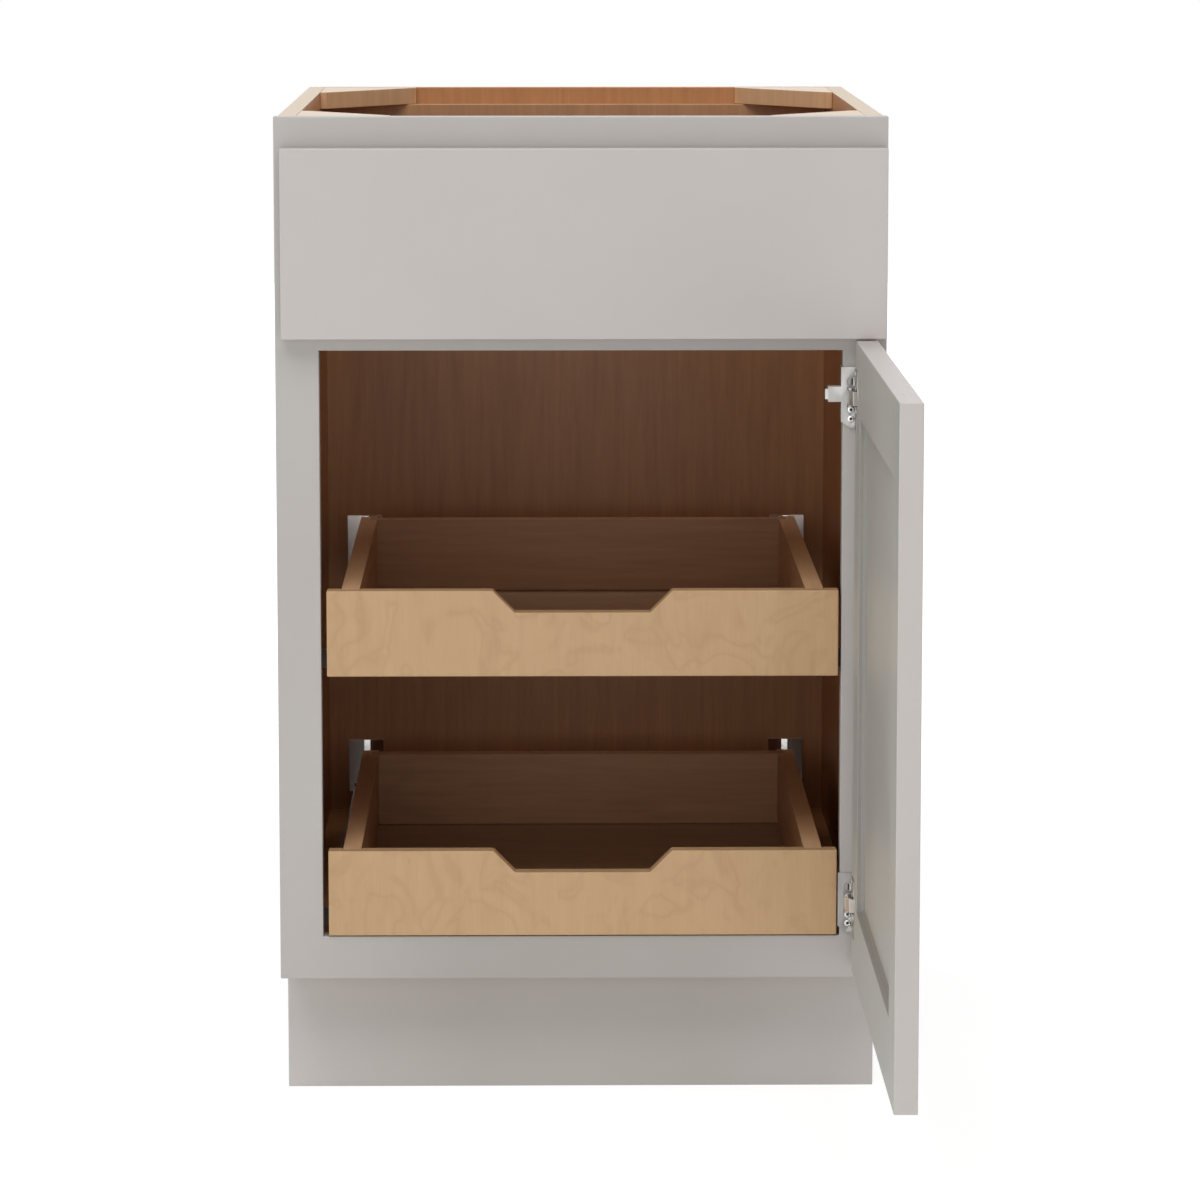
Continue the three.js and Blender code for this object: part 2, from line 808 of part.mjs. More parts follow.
const hingeLevels = [
  ["upper", upperHingeZ, true],
  ["lower", lowerHingeZ, false],
];
const hingedDoor = new THREE.Group();
hingedDoor.position.set(openHalf + openDoorGap, openEdgeY, 0);
hingedDoor.rotation.z = -Math.PI / 2;
hingedDoor.add(...door(), ...hingeLevels.map(([name, z]) => hingeCup(`${name}_hinge_cup`, z)));

hingeLevels.forEach(([name, z, withDamper]) => {
  cabinet.add(
    hingePlate(`${name}_hinge_plate`, z, withDamper),
    hingeLink(`${name}_hinge_link`, z),
    hingeCam(`${name}_hinge_cam`, z),
  );
});

cabinet.add(...faceFrame(), ...box(), drawer(), hingedDoor);
cabinet.position.y = -toeSetback - toeBoardThick / 2;

export default cabinet;
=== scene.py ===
# %% [markdown]
# # A kitchen base cabinet with its door open
# The measured model of the cabinet comes in first: every board, slide and hinge is already at its real
# size and place, in metres. What is left for Blender is what a cabinet maker calls the finish: eased
# edges, paint, veneer, plated steel and the small screws. Each cell makes one of these and says why.

import json
import math

import bmesh
import bpy
from mathutils import Matrix, Vector

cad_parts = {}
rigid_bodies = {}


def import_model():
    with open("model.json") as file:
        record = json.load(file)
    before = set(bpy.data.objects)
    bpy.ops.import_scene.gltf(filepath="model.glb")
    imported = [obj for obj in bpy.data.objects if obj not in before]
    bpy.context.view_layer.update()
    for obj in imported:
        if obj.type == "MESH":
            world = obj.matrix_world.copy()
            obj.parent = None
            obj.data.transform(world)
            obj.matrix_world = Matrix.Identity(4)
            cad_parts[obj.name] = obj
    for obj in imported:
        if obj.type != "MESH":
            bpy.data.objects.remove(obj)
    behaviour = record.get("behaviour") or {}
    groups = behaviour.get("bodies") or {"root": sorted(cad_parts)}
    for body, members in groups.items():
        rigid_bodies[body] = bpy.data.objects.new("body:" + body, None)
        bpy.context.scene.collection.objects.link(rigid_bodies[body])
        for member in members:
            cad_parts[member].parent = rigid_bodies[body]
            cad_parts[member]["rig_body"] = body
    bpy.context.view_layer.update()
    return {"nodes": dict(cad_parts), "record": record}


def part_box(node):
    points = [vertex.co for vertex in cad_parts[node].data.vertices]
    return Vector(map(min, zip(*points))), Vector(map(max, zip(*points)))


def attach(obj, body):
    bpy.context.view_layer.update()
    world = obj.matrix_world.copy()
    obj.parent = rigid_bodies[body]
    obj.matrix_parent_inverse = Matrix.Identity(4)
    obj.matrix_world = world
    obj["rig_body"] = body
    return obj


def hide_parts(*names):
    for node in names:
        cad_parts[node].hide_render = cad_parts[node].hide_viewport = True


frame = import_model()
slot_of_node = {part["node"]: part["material_slot"] for part in frame["record"]["subparts"]}
body_of_node = {name: made["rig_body"] for name, made in frame["nodes"].items()}

# %% [markdown]
# ## The camera
# The picture of the cabinet was taken from far away with a long lens, a little above the countertop and
# almost square to the front. A camera could be aimed at the middle with a constraint, but a fixed place and
# two angles say the same thing in numbers that can be compared. The small vertical shift keeps the stiles
# nearly upright, as an architect's camera does.

# %% Camera
camera_place = Vector((-0.0381, -4.3689, 1.0787))
camera_turn_right = 0.0127
camera_tilt_down = 0.1397
camera_lens = 148.35
camera_shift = -0.02

camera_data = bpy.data.cameras.new("front_camera")
camera_data.lens = camera_lens
camera_data.sensor_width = 36
camera_data.shift_y = camera_shift
camera_data.clip_end = 60
camera = bpy.data.objects.new("front_camera", camera_data)
camera.location = camera_place
camera.rotation_euler = (math.pi / 2 - camera_tilt_down, 0, -camera_turn_right)
bpy.context.scene.collection.objects.link(camera)
bpy.context.scene.camera = camera
print("camera", round(camera_place.length, 2), "m away,", camera_lens, "mm")

# %% [markdown]
# ## Plain soft light
# Catalogue pictures use big diffusers, so that paint shows its true colour and no lamp shows as a spot. The
# main lamp stands in front and above; a weaker one fills from the left. The world gives an even base level.
# What the camera sees behind the cabinet is plain white, and so does shiny metal.

# %% World and lamps
ambient_level = 0.2
lamp_rows = (
    ("high_diffuser", (-0.5, -2.7, 4.1), (0, -0.5, 0.0), 4.0, 3.0, 113),
    ("front_diffuser", (-0.5, -4.2, 0.95), (0, 0, 0.4), 3.6, 1.4, 20),
    ("left_diffuser", (-2.6, -2.6, 1.0), (0, -0.3, 0.4), 1.8, 1.6, 4),
    ("top_diffuser", (0, 0.9, 2.8), (0, 0.3, 0.8), 1.6, 1.2, 18),
    ("back_diffuser", (0.6, 4.4, 0.55), (0, 0.3, 0.5), 3.0, 0.9, 26),
)

world = bpy.data.worlds.new("studio")
bpy.context.scene.world = world
world.use_nodes = True
world_nodes = world.node_tree.nodes
world_links = world.node_tree.links
world_nodes.clear()
world_out = world_nodes.new("ShaderNodeOutputWorld")
world_mix = world_nodes.new("ShaderNodeMixShader")
world_path = world_nodes.new("ShaderNodeLightPath")
world_seen = world_nodes.new("ShaderNodeMath")
world_seen.operation = "MAXIMUM"
world_clear = world_nodes.new("ShaderNodeMath")
world_clear.operation = "MAXIMUM"
world_links.new(world_path.outputs["Is Camera Ray"], world_seen.inputs[0])
world_links.new(world_path.outputs["Is Glossy Ray"], world_seen.inputs[1])
world_links.new(world_seen.outputs[0], world_clear.inputs[0])
world_links.new(world_path.outputs["Is Transmission Ray"], world_clear.inputs[1])
world_light = world_nodes.new("ShaderNodeBackground")
world_light.inputs["Color"].default_value = (1, 1, 1, 1)
world_light.inputs["Strength"].default_value = ambient_level
world_white = world_nodes.new("ShaderNodeBackground")
world_white.inputs["Color"].default_value = (1, 1, 1, 1)
world_white.inputs["Strength"].default_value = 1
world_links.new(world_clear.outputs[0], world_mix.inputs["Fac"])
world_links.new(world_light.outputs[0], world_mix.inputs[1])
world_links.new(world_white.outputs[0], world_mix.inputs[2])
world_links.new(world_mix.outputs[0], world_out.inputs["Surface"])


def soft_lamp(name, place, target, width, height, power):
    """A rectangular diffuser that faces its target."""
    data = bpy.data.lights.new(name, "AREA")
    data.shape = "RECTANGLE"
    data.size = width
    data.size_y = height
    data.energy = power
    lamp = bpy.data.objects.new(name, data)
    lamp.location = place
    lamp.rotation_euler = (Vector(target) - Vector(place)).to_track_quat("-Z", "Y").to_euler()
    bpy.context.scene.collection.objects.link(lamp)
    return lamp


for row in lamp_rows:
    soft_lamp(*row)
print(len(lamp_rows), "lamps over a base level of", ambient_level)

# %% [markdown]
# ## The floor
# A white floor has to look as white as the page, yet the cabinet's shadow should still ground it. A lamp
# strong enough to burn the floor white would burn the paint too. So the camera sees a blend: mostly an even
# white glow, and a part of the real, shaded floor underneath. Further out only the glow is left.

# %% Floor
floor_half = 9.0
floor_glow_level = 1.27
floor_lift_level = 0.3
floor_shade_share = 0.34
floor_shade_near = 0.9
floor_shade_far = 2.2

floor_mesh = bpy.data.meshes.new("floor")
floor_mesh.from_pydata(
    [
        (-floor_half, -floor_half, 0),
        (floor_half, -floor_half, 0),
        (floor_half, floor_half, 0),
        (-floor_half, floor_half, 0),
    ],
    [],
    [(0, 1, 2, 3)],
)
floor = bpy.data.objects.new("floor", floor_mesh)
bpy.context.scene.collection.objects.link(floor)

floor_material = bpy.data.materials.new("white_floor")
floor_material.use_nodes = True
floor_nodes = floor_material.node_tree.nodes
floor_links = floor_material.node_tree.links
floor_nodes.clear()
floor_out = floor_nodes.new("ShaderNodeOutputMaterial")
floor_paper = floor_nodes.new("ShaderNodeBsdfDiffuse")
floor_paper.inputs["Color"].default_value = (0.9, 0.9, 0.9, 1)
floor_glow = floor_nodes.new("ShaderNodeEmission")
floor_glow.inputs["Strength"].default_value = floor_glow_level
floor_blend = floor_nodes.new("ShaderNodeMixShader")
floor_place = floor_nodes.new("ShaderNodeTexCoord")
floor_distance = floor_nodes.new("ShaderNodeVectorMath")
floor_distance.operation = "LENGTH"
floor_fade = floor_nodes.new("ShaderNodeMapRange")
floor_fade.interpolation_type = "SMOOTHSTEP"
floor_fade.inputs["From Min"].default_value = floor_shade_near
floor_fade.inputs["From Max"].default_value = floor_shade_far
floor_fade.inputs["To Min"].default_value = floor_shade_share
floor_fade.inputs["To Max"].default_value = 0
floor_links.new(floor_place.outputs["Object"], floor_distance.inputs[0])
floor_links.new(floor_distance.outputs["Value"], floor_fade.inputs["Value"])
floor_links.new(floor_fade.outputs[0], floor_blend.inputs["Fac"])
floor_pick = floor_nodes.new("ShaderNodeMixShader")
floor_path = floor_nodes.new("ShaderNodeLightPath")
floor_links.new(floor_path.outputs["Is Camera Ray"], floor_pick.inputs["Fac"])
floor_links.new(floor_glow.outputs[0], floor_blend.inputs[1])
floor_links.new(floor_paper.outputs[0], floor_blend.inputs[2])
floor_lift = floor_nodes.new("ShaderNodeEmission")
floor_lift.inputs["Strength"].default_value = floor_lift_level
floor_bright = floor_nodes.new("ShaderNodeAddShader")
floor_links.new(floor_paper.outputs[0], floor_bright.inputs[0])
floor_links.new(floor_lift.outputs[0], floor_bright.inputs[1])
floor_links.new(floor_bright.outputs[0], floor_pick.inputs[1])
floor_links.new(floor_blend.outputs[0], floor_pick.inputs[2])
floor_links.new(floor_pick.outputs[0], floor_out.inputs["Surface"])
floor_mesh.materials.append(floor_material)
print("floor", 2 * floor_half, "m square")

# %% [markdown]
# ## Colours and sockets
# Screen colours are written as 0 to 255, but shaders work in linear light, so one helper converts them.
# A second helper adds a node and wires it in one line, because a finish is easier to read as a list of steps.


# %% Helpers for shader nodes
def screen_colour(red, green, blue):
    """A 0-255 screen colour as the linear colour that shaders use."""

    def linear(value):
        share = value / 255
        return share / 12.92 if share <= 0.04045 else ((share + 0.055) / 1.055) ** 2.4

    return (linear(red), linear(green), linear(blue), 1.0)


def add_node(tree, kind, sockets=(), **settings):
    """Adds a node, sets its properties, and sets or wires its sockets by name or number."""
    made = tree.nodes.new(kind)
    for key, value in settings.items():
        setattr(made, key, value)
    for key, value in dict(sockets).items():
        if isinstance(value, bpy.types.NodeSocket):
            tree.links.new(value, made.inputs[key])
        else:
            made.inputs[key].default_value = value
    return made


def sum_of(tree, operation, first, second, third=None):
    """One step of arithmetic on values."""
    sockets = {0: first, 1: second}
    if third is not None:
        sockets[2] = third
    return add_node(tree, "ShaderNodeMath", sockets, operation=operation).outputs[0]


def spread(tree, value, low, high, new_low, new_high):
    """Maps a value from one span to another and keeps it inside."""
    sockets = {"Value": value, "From Min": low, "From Max": high, "To Min": new_low, "To Max": new_high}
    return add_node(tree, "ShaderNodeMapRange", sockets, clamp=True).outputs[0]


def blend_colour(tree, share, first, second, mode="MIX"):
    """Mixes two colours by a share from 0 to 1."""
    made = add_node(tree, "ShaderNodeMix", data_type="RGBA", blend_type=mode)
    for number, value in ((0, share), (6, first), (7, second)):
        if isinstance(value, bpy.types.NodeSocket):
            tree.links.new(value, made.inputs[number])
        else:
            made.inputs[number].default_value = value
    return made.outputs[2]


def new_group(name, inputs, outputs):
    """An empty node group with named sockets, its input node and its output node."""
    tree = bpy.data.node_groups.new(name, "ShaderNodeTree")
    for label, kind, value in inputs:
        tree.interface.new_socket(label, in_out="INPUT", socket_type=kind).default_value = value
    for label in outputs:
        tree.interface.new_socket(label, in_out="OUTPUT", socket_type="NodeSocketFloat")
    return tree, tree.nodes.new("NodeGroupInput"), tree.nodes.new("NodeGroupOutput")


print("paint grey in linear light:", screen_colour(200, 195, 189))

# %% [markdown]
# ## Grain, as one shared effect
# Maple shows three things: soft streaks along the board, faint contour lines where the veneer cuts through
# the growth rings, and tiny pores. All come from noise that is stretched along the grain. A photo texture
# could do this too, but noise has no seams and can run in any direction. It is a group, so that the trays,
# the lining and the plywood share it, each with its own direction and sizes.

# %% Group: board grain
grain_group, grain_in, grain_out = new_group(
    "board grain",
    [
        ("Along", "NodeSocketVector", (1, 0, 0)),
        ("Streak Width", "NodeSocketFloat", 0.012),
        ("Ring Size", "NodeSocketFloat", 0.16),
        ("Ring Stretch", "NodeSocketFloat", 0.8),
        ("Ring Lines", "NodeSocketFloat", 9.0),
        ("Fleck Stretch", "NodeSocketFloat", 0.9),
    ],
    ["Streak", "Ring", "Pore", "Fleck"],
)
grain_place = add_node(grain_group, "ShaderNodeTexCoord").outputs["Object"]
grain_random = add_node(grain_group, "ShaderNodeObjectInfo").outputs["Random"]
grain_shift = sum_of(grain_group, "MULTIPLY", grain_random, 5.0)
grain_moved = add_node(
    grain_group, "ShaderNodeVectorMath", {0: grain_place, 1: grain_shift}, operation="ADD"
).outputs[0]


def along_grain(amount):
    """The place, squeezed along the grain, so that noise stretches that way."""
    squeeze = add_node(
        grain_group, "ShaderNodeVectorMath", {0: grain_in.outputs["Along"]}, operation="SCALE"
    )
    if isinstance(amount, bpy.types.NodeSocket):
        grain_group.links.new(amount, squeeze.inputs["Scale"])
    else:
        squeeze.inputs["Scale"].default_value = amount
    rest = add_node(
        grain_group, "ShaderNodeVectorMath", {0: (1, 1, 1), 1: squeeze.outputs[0]}, operation="SUBTRACT"
    )
    return add_node(
        grain_group, "ShaderNodeVectorMath", {0: grain_moved, 1: rest.outputs[0]}, operation="MULTIPLY"
    ).outputs[0]


streak_scale = sum_of(grain_group, "DIVIDE", 1.0, grain_in.outputs["Streak Width"])
streak = add_node(
    grain_group,
    "ShaderNodeTexNoise",
    {"Vector": along_grain(0.94), "Scale": streak_scale, "Detail": 5.0, "Roughness": 0.62, "Distortion": 0.4},
)
ring_scale = sum_of(grain_group, "DIVIDE", 1.0, grain_in.outputs["Ring Size"])
ring_field = add_node(
    grain_group,
    "ShaderNodeTexNoise",
    {
        "Vector": along_grain(grain_in.outputs["Ring Stretch"]),
        "Scale": ring_scale,
        "Detail": 2.0,
        "Roughness": 0.45,
        "Distortion": 0.9,
    },
)
ring_turns = sum_of(grain_group, "MULTIPLY", ring_field.outputs[0], grain_in.outputs["Ring Lines"])
ring_wave = sum_of(grain_group, "PINGPONG", ring_turns, 0.5)
ring_line = sum_of(grain_group, "POWER", sum_of(grain_group, "MULTIPLY", ring_wave, 2.0), 3.0)
pore = add_node(
    grain_group,
    "ShaderNodeTexNoise",
    {"Vector": along_grain(0.975), "Scale": 1400.0, "Detail": 2.0, "Roughness": 0.5},
)
fleck_cells = add_node(
    grain_group, "ShaderNodeTexVoronoi", {"Vector": along_grain(grain_in.outputs["Fleck Stretch"]), "Scale": 26.0}
)
fleck = spread(grain_group, fleck_cells.outputs["Distance"], 0.02, 0.05, 1.0, 0.0)
grain_group.links.new(fleck, grain_out.inputs["Fleck"])
grain_group.links.new(streak.outputs[0], grain_out.inputs["Streak"])
grain_group.links.new(ring_line, grain_out.inputs["Ring"])
grain_group.links.new(pore.outputs[0], grain_out.inputs["Pore"])
print("grain group:", len(grain_group.nodes), "nodes")

# %% [markdown]
# ## Edges that catch the light
# Where a board has been sanded, its corner is a touch paler and smoother than its face, and the paler colour
# is also a painted highlight for the light that a corner catches; on the tray fronts the same mask paints the
# edges darker instead, as painted shade. The bevel node compares the true normal with a rounded one: where they
# differ there is an edge. This finds every corner of every board, with no painting by hand, and it doesn't
# depend on where the viewer stands.

# %% Group: sanded edge and painted highlight
edge_wear_and_painted_light_group, edge_in, edge_out = new_group(
    "edge wear and painted light", [("Width", "NodeSocketFloat", 0.0012)], ["Mask"]
)
edge_round = add_node(edge_wear_and_painted_light_group, "ShaderNodeBevel", {"Radius": edge_in.outputs["Width"]}, samples=4)
edge_flat = add_node(edge_wear_and_painted_light_group, "ShaderNodeNewGeometry").outputs["Normal"]
edge_match = add_node(
    edge_wear_and_painted_light_group, "ShaderNodeVectorMath", {0: edge_round.outputs[0], 1: edge_flat}, operation="DOT_PRODUCT"
).outputs["Value"]
edge_wear_and_painted_light_group.links.new(spread(edge_wear_and_painted_light_group, edge_match, 0.98, 0.8, 0.0, 1.0), edge_out.inputs["Mask"])
print("edge group:", len(edge_wear_and_painted_light_group.nodes), "nodes")

# %% [markdown]
# ## The skin of a sprayed or lacquered surface
# Sprayed paint is never dead flat. Up close it has a fine orange-peel, and over a hand's breadth its gloss
# drifts a little. Two noises give both, one for a height and one for a slow patchiness.

# %% Group: sprayed skin
skin_group, skin_in, skin_out = new_group(
    "sprayed skin",
    [("Peel Size", "NodeSocketFloat", 0.0022), ("Patch Size", "NodeSocketFloat", 0.18)],
    ["Peel", "Patch"],
)
skin_place = add_node(skin_group, "ShaderNodeTexCoord").outputs["Object"]
peel_scale = sum_of(skin_group, "DIVIDE", 1.0, skin_in.outputs["Peel Size"])
patch_scale = sum_of(skin_group, "DIVIDE", 1.0, skin_in.outputs["Patch Size"])
peel = add_node(
    skin_group, "ShaderNodeTexNoise", {"Vector": skin_place, "Scale": peel_scale, "Detail": 2.0}
)
patch = add_node(
    skin_group, "ShaderNodeTexNoise", {"Vector": skin_place, "Scale": patch_scale, "Detail": 3.0}
)
skin_group.links.new(peel.outputs[0], skin_out.inputs["Peel"])
skin_group.links.new(patch.outputs[0], skin_out.inputs["Patch"])
print("skin group:", len(skin_group.nodes), "nodes")

# %% [markdown]
# ## Painted shade across the middles
# The middles of the rails and of the toe board are painted a shade darker than their ends, low down most of
# all: painted shade for the shade under the fronts and near the floor. The mask is made of two ramps: one
# across the width and one over the height. A painted mask would show the same, but two ramps are easy to move.

# %% Group: painted middle shade
middle_shade_group, middle_shade_in, middle_shade_out = new_group(
    "painted middle shade",
    [("Half Width", "NodeSocketFloat", 0.25), ("Low Level", "NodeSocketFloat", 0.17)],
    ["Mask"],
)
middle_shade_place = add_node(middle_shade_group, "ShaderNodeTexCoord").outputs["Object"]
middle_shade_axes = add_node(middle_shade_group, "ShaderNodeSeparateXYZ", {0: middle_shade_place})
middle_shade_off_centre = add_node(middle_shade_group, "ShaderNodeMath", {0: middle_shade_axes.outputs["X"]}, operation="ABSOLUTE")
middle_shade_inner = sum_of(middle_shade_group, "MULTIPLY", middle_shade_in.outputs["Half Width"], 0.4)
middle_shade_across = spread(
    middle_shade_group, middle_shade_off_centre.outputs[0], middle_shade_in.outputs["Half Width"], middle_shade_inner, 0.0, 1.0
)
middle_shade_top = sum_of(middle_shade_group, "ADD", middle_shade_in.outputs["Low Level"], 0.1)
middle_shade_over = spread(middle_shade_group, middle_shade_axes.outputs["Z"], middle_shade_in.outputs["Low Level"], middle_shade_top, 1.0, 0.1)
middle_shade_group.links.new(sum_of(middle_shade_group, "MULTIPLY", middle_shade_across, middle_shade_over), middle_shade_out.inputs["Mask"])
print("wear group:", len(middle_shade_group.nodes), "nodes")

# %% [markdown]
# ## Rolled and plated steel
# Plated sheet keeps faint lines from the rolling mill and a cloudiness from handling. One stretched noise
# and one round noise make them, and every steel finish takes both with its own strength.

# %% Group: rolled steel
steel_group, steel_in, steel_out = new_group(
    "rolled steel",
    [("Along", "NodeSocketVector", (0, 1, 0)), ("Line Width", "NodeSocketFloat", 0.0004)],
    ["Line", "Cloud"],
)
steel_place = add_node(steel_group, "ShaderNodeTexCoord").outputs["Object"]
steel_squeeze = add_node(
    steel_group, "ShaderNodeVectorMath", {0: steel_in.outputs["Along"], "Scale": 0.97}, operation="SCALE"
)
steel_rest = add_node(
    steel_group, "ShaderNodeVectorMath", {0: (1, 1, 1), 1: steel_squeeze.outputs[0]}, operation="SUBTRACT"
)
steel_stretched = add_node(
    steel_group, "ShaderNodeVectorMath", {0: steel_place, 1: steel_rest.outputs[0]}, operation="MULTIPLY"
)
line_scale = sum_of(steel_group, "DIVIDE", 1.0, steel_in.outputs["Line Width"])
steel_line = add_node(
    steel_group, "ShaderNodeTexNoise", {"Vector": steel_stretched.outputs[0], "Scale": line_scale}
)
steel_cloud = add_node(
    steel_group, "ShaderNodeTexNoise", {"Vector": steel_place, "Scale": 60.0, "Detail": 3.0}
)
steel_group.links.new(steel_line.outputs[0], steel_out.inputs["Line"])
steel_group.links.new(steel_cloud.outputs[0], steel_out.inputs["Cloud"])
print("steel group:", len(steel_group.nodes), "nodes")


# %% [markdown]
# ## Starting a material
# Every finish below starts the same way: an empty node tree with one Principled shader. The shader stays
# in the material itself, and the groups only feed it colours and values.

# %% Helpers for materials
def new_finish(name):
    """A material with a lone Principled shader, its node tree and that shader."""
    made = bpy.data.materials.new(name)
    made.use_nodes = True
    tree = made.node_tree
    tree.nodes.clear()
    shader = tree.nodes.new("ShaderNodeBsdfPrincipled")
    out = tree.nodes.new("ShaderNodeOutputMaterial")
    tree.links.new(shader.outputs[0], out.inputs["Surface"])
    return made, tree, shader


def use_group(tree, group, **sockets):
    """Places a node group with its own values. An underscore in a keyword stands for a space."""
    made = tree.nodes.new("ShaderNodeGroup")
    made.node_tree = group
    for key, value in sockets.items():
        made.inputs[key.replace("_", " ")].default_value = value
    return made.outputs


def feed(tree, shader, socket, value):
    """Wires a value into one of the shader's sockets."""
    tree.links.new(value, shader.inputs[socket])


def feed_bump(tree, shader, height, depth, strength=1.0, lean=0.0):
    """Turns a height from 0 to 1 into a bump of a real depth in metres, over a face that may lean back."""
    bump = add_node(tree, "ShaderNodeBump", {"Height": height, "Distance": depth, "Strength": strength})
    if lean:
        place = add_node(tree, "ShaderNodeTexCoord").outputs["Object"]
        level = add_node(tree, "ShaderNodeSeparateXYZ", {0: place}).outputs["Z"]
        slope = add_node(tree, "ShaderNodeBump", {"Height": level, "Distance": lean}, invert=True)
        tree.links.new(slope.outputs[0], bump.inputs["Normal"])
    feed(tree, shader, "Normal", bump.outputs[0])


print("ready to mix finishes")

# %% [markdown]
# ## Warm light grey paint
# The frame, the door and the drawer front are sprayed in satin grey, the frame a little darker than the fronts.
# The door's inside takes a darker, cooler copy and the walls of its recess a deeper one, both painted shade; the
# toe board takes a paler copy, painted light against the shade under the overhang. The colour drifts by a per
# cent or two with the patchiness, edges are a shade lighter from sanding and a painted highlight, and the
# orange-peel is a few hundredths of a millimetre deep.

# %% Paint
def sprayed_paint(name, body, deep, edge_wear_and_painted_light_tone, middle_shade=0.0):
    """Satin paint with a slow drift of tone, edges paler from sanding and a painted highlight, a fine orange-peel
    and, when asked, painted shade darkening the middles.
    """
    made, tree, shader = new_finish(name)
    skin = use_group(tree, skin_group, Peel_Size=0.0026, Patch_Size=0.22)
    edge = use_group(tree, edge_wear_and_painted_light_group, Width=0.0011)
    drift = spread(tree, skin["Patch"], 0.35, 0.65, 0.0, 1.0)
    face = blend_colour(tree, drift, deep, body)
    if middle_shade:
        middle_shade_mask = use_group(tree, middle_shade_group)
        middle_shade_share = sum_of(tree, "MULTIPLY", middle_shade_mask["Mask"], middle_shade)
        # Painted shade: the middles blend towards a dark grey.
        face = blend_colour(tree, middle_shade_share, face, screen_colour(112, 108, 100))
    edge_wear_and_painted_light_share = sum_of(tree, "MULTIPLY", edge["Mask"], 0.5)
    feed(tree, shader, "Base Color", blend_colour(tree, edge_wear_and_painted_light_share, face, edge_wear_and_painted_light_tone))
    feed(tree, shader, "Roughness", spread(tree, skin["Patch"], 0.3, 0.7, 0.4, 0.5))
    feed_bump(tree, shader, skin["Peel"], 0.00004, 0.6)
    return made


front_paint = sprayed_paint(
    "front_satin_paint", screen_colour(197, 191, 187), screen_colour(194, 187, 183), screen_colour(207, 202, 197)
)
# The door's inside: a darker, cooler copy of the front grey, painted shade.
inner_shaded_paint = sprayed_paint(
    "door_inside_painted_shade", screen_colour(190, 189, 183), screen_colour(186, 185, 179), screen_colour(200, 199, 193)
)
# The walls of the door's recess and its inner bead: a deeper copy, painted shade.
recess_shaded_paint = sprayed_paint(
    "door_recess_painted_shade", screen_colour(156, 152, 147), screen_colour(152, 148, 143), screen_colour(169, 165, 160)
)
frame_paint = sprayed_paint(
    "frame_satin_paint",
    screen_colour(187, 183, 179),
    screen_colour(184, 179, 174),
    screen_colour(198, 194, 189),
    middle_shade=0.3,
)
# The toe board takes a paler copy of the frame's grey: painted light that lifts the shade under the overhang.
toe_lifted_paint = sprayed_paint(
    "toe_paint_painted_light",
    screen_colour(201, 197, 193),
    screen_colour(197, 192, 188),
    screen_colour(210, 206, 202),
    middle_shade=0.2,
)
print("paints: fronts, door inside and its recess, frame and toe board")


# %% [markdown]
# ## Maple
# One recipe serves all the clear-lacquered wood: a base tone, streaks, ring lines and pores. What changes is
# the direction of the grain, how pale the piece is and how lively its figure. The tray fronts are the
# palest and have curly figure. The lining and the trays' insides are plainer and browner.

# %% Maple recipe
def maple(name, along, pale, deep, ring, edge_wear_and_painted_light_tone, **figure):
    """Clear-lacquered maple whose grain runs along one direction."""
    size = {"ring_size": 0.13, "ring_stretch": 0.88, "ring_share": 0.13, "ring_lines": 7.0}
    size.update(streak=0.007, fleck=0.35, fleck_stretch=0.9, smoothest=0.34, roughest=0.46)
    size.update(figure)
    made, tree, shader = new_finish(name)
    grain = use_group(
        tree,
        grain_group,
        Along=along,
        Streak_Width=size["streak"],
        Ring_Size=size["ring_size"],
        Ring_Stretch=size["ring_stretch"],
        Ring_Lines=size["ring_lines"],
        Fleck_Stretch=size["fleck_stretch"],
    )
    skin = use_group(tree, skin_group, Peel_Size=0.0035, Patch_Size=0.3)
    edge = use_group(tree, edge_wear_and_painted_light_group, Width=0.0012)
    streak_share = spread(tree, grain["Streak"], 0.3, 0.72, 0.0, 1.0)
    face = blend_colour(tree, streak_share, deep, pale)
    ring_shade = sum_of(tree, "MULTIPLY", grain["Ring"], size["ring_share"])
    ringed = blend_colour(tree, ring_shade, face, ring)
    pore_shade = spread(tree, grain["Pore"], 0.35, 0.5, 0.1, 0.0)
    pored = blend_colour(tree, pore_shade, ringed, ring)
    fleck_shade = sum_of(tree, "MULTIPLY", grain["Fleck"], size["fleck"])
    flecked = blend_colour(tree, fleck_shade, pored, ring)
    # Edges blend to the edge tone: sanding wear, with a painted highlight where that tone is paler and painted shade
    # where it is darker.
    edge_wear_and_painted_light_share = sum_of(tree, "MULTIPLY", edge["Mask"], 0.5)
    feed(tree, shader, "Base Color", blend_colour(tree, edge_wear_and_painted_light_share, flecked, edge_wear_and_painted_light_tone))
    feed(tree, shader, "Roughness", spread(tree, skin["Patch"], 0.3, 0.7, size["smoothest"], size["roughest"]))
    feed_bump(tree, shader, grain["Pore"], 0.00005, 0.5)
    return made


